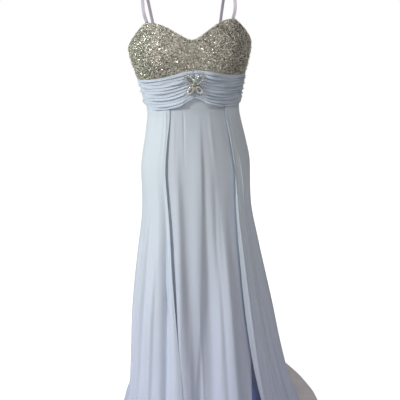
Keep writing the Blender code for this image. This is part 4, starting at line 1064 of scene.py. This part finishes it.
def gemMesh(name, node, stone):
    # a brilliant-cut stone seen from the front
    count = brooch["facets"]
    k, after = roundAndNext(count)
    corners = nodeCorners(node)
    front = (corners[:, 1] - plateLean * (corners[:, 2] - middleZ)).max()
    points = []
    for depth, share, twist in facetRings:
        t = 2 * math.pi * (k + twist) / count
        z = stone.z + stone.height / 2 * share * np.sin(t)
        points.append(np.stack([stone.x + stone.width / 2 * share * np.cos(t),
                                front + plateLean * z - stone.rise * depth, brooch["height"] + z], axis=-1))
    middle = front + plateLean * stone.z
    points.append([(stone.x, middle - rise, brooch["height"] + stone.z) for rise in (0, stone.rise)])
    faces = []
    for row in range(len(facetRings) - 1):
        a, b = row * count, (row + 1) * count
        faces += [(a + k, a + after, b + k), (a + after, b + after, b + k)]
    end = len(facetRings) * count + 0 * k
    faces += [(end, after, k), (end + 1, b + k, b + after)]
    faces = [np.stack(face, axis=-1) for face in faces]
    return meshFrom(name, lower(np.vstack(points)), np.vstack(faces), smoothed=False)


for stone in stones:
    node = "brooch_stone_" + stone.name
    addPiece(gemMesh(node + "_cut", node, stone), finishes[stone.finish], stone.slot, replaces=(node,))
print("brooch made")


# zip: teeth up the back seam, and the slider and pull from the frame
zipLine = {"teethTop": 1.232, "teethFoot": 1.016, "pitch": 0.0016, "tooth": 0.0005, "aside": 0.0004,
           "proud": 0.0002}
toothHeights = np.arange(zipLine["teethFoot"], zipLine["teethTop"], zipLine["pitch"])
tapeCorners = nodeCorners("zip_tape")
tapeHeights = np.unique(np.round(tapeCorners[:, 2], 5))
tapeFace = [tapeCorners[np.abs(tapeCorners[:, 2] - z) < 1e-4][:, 1].max() for z in tapeHeights]
toothY = np.interp(toothHeights - dress["shoulderHeight"], tapeHeights, tapeFace) + zipLine["proud"]
toothX = np.where(np.arange(len(toothHeights)) % 2, zipLine["aside"], -zipLine["aside"])
teeth = np.stack([toothX, toothY, toothHeights], axis=-1)
toothRadii = np.full(len(teeth), zipLine["tooth"])
addPiece(ballMesh("zip_teeth", teeth, toothRadii), finishes["zipMetal"], "zip_metal")

for name, finish in (("brooch_setting", "broochMetal"), ("zip_tape", "zipTape"), ("zip_slider", "zipMetal"),
                     ("zip_pull", "zipMetal")):
    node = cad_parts[name]
    node.data.materials.clear()
    node.data.materials.append(finishes[finish])
print("zip made")


# stage, light and camera
stage = {
    "floorSize": 30.0, "floorColour": (0.80, 0.80, 0.80, 1), "floorGlow": 0.90, "floorBelow": 0.0005,
    "worldColour": (1.0, 1.0, 1.0, 1), "worldSeen": 1.0, "worldLight": 0.092, "worldGloss": 0.55,
}


def addToScene(name, data):
    thing = bpy.data.objects.new(name, data)
    bpy.context.scene.collection.objects.link(thing)
    return thing


def addFloor():
    half = stage["floorSize"] / 2
    level = -dress["shoulderHeight"] - stage["floorBelow"]
    corners = [(x * half, y * half, level) for x, y in ((-1, -1), (1, -1), (1, 1), (-1, 1))]
    mesh = meshFrom("floor", corners, np.array([[0, 1, 2, 3]]))
    material, tree, shader = newMaterial(
        "floorPaint", Roughness=0.9, Base_Color=stage["floorColour"], Emission_Color=(1, 1, 1, 1))
    # the floor glows only where it is looked at, so that it adds no light to the cloth
    path = tree.nodes.new("ShaderNodeLightPath").outputs
    setInputs(tree, shader, {"Emission Strength": mathNode(tree, "MULTIPLY", path["Is Camera Ray"],
                                                           stage["floorGlow"])})
    mesh.materials.append(material)
    addToScene("floor", mesh)


lights = {
    "key": {"place": (-2.9, -1.45, 1.45), "aim": (0.0, 0.0, -0.6), "size": 0.5, "power": 96.0,
            "colour": (0.98, 1.0, 1.0)},
    "side": {"place": (0.9, -2.7, 2.1), "aim": (0.0, 0.0, -0.3), "size": 0.8, "power": 30.0,
             "colour": (1.0, 0.94, 0.945)},
    "back": {"place": (1.0, 3.3, 1.5), "aim": (0.0, 0.3, -0.7), "size": 1.6, "power": 26.0,
             "colour": (1.0, 0.98, 0.97)},
}


def addLights():
    for name, light in lights.items():
        data = bpy.data.lights.new(name, "AREA")
        data.size, data.energy, data.color = light["size"], light["power"], light["colour"]
        lamp = addToScene(name, data)
        lamp.location = light["place"]
        lamp.rotation_euler = (Vector(light["aim"]) - lamp.location).to_track_quat("-Z", "Y").to_euler()


def addWorld():
    # a pale studio: bright where it is seen, dimmer where it lights the cloth
    world = bpy.data.worlds.new("studio")
    world.use_nodes = True
    tree = world.node_tree
    path = tree.nodes.new("ShaderNodeLightPath").outputs
    gloss = mathNode(tree, "MULTIPLY", path["Is Glossy Ray"], stage["worldGloss"])
    seen = mathNode(tree, "MULTIPLY", path["Is Camera Ray"], stage["worldSeen"])
    brightest = mathNode(tree, "MAXIMUM", mathNode(tree, "MAXIMUM", gloss, seen), stage["worldLight"])
    setInputs(tree, tree.nodes["Background"], {"Color": stage["worldColour"], "Strength": brightest})
    bpy.context.scene.world = world


# the camera stands a little to the left, below the shoulders, and looks down with a slight roll
view = {"height": 1.295, "distance": 1.18, "pitch": 21.0, "azimuth": -3.5, "roll": 3.0, "focal": 430.0,
        "imageWidth": 400.0, "sensor": 36.0, "shift": 2.0}


def addCamera():
    turn, pitch, roll = (math.radians(view[k]) for k in ("azimuth", "pitch", "roll"))
    place = Vector((view["distance"] * math.sin(turn), -view["distance"] * math.cos(turn),
                    view["height"] - dress["shoulderHeight"]))
    right = Vector((math.cos(turn), math.sin(turn), 0))
    ahead = Vector((-math.sin(turn) * math.cos(pitch), math.cos(turn) * math.cos(pitch), -math.sin(pitch)))
    above = right.cross(ahead)
    across = right * math.cos(roll) - above * math.sin(roll)
    upward = above * math.cos(roll) + right * math.sin(roll)
    data = bpy.data.cameras.new("camera")
    data.sensor_width = view["sensor"]
    data.lens = view["focal"] / view["imageWidth"] * view["sensor"]
    data.shift_x = view["shift"] / view["imageWidth"]
    data.clip_end = 50
    camera = addToScene("camera", data)
    camera.matrix_world = Matrix.Translation(place) @ Matrix((across, upward, -ahead)).transposed().to_4x4()
    bpy.context.scene.camera = camera


addFloor()
addLights()
addWorld()
addCamera()
bpy.context.scene.view_settings.view_transform = "Standard"
print("stage set")
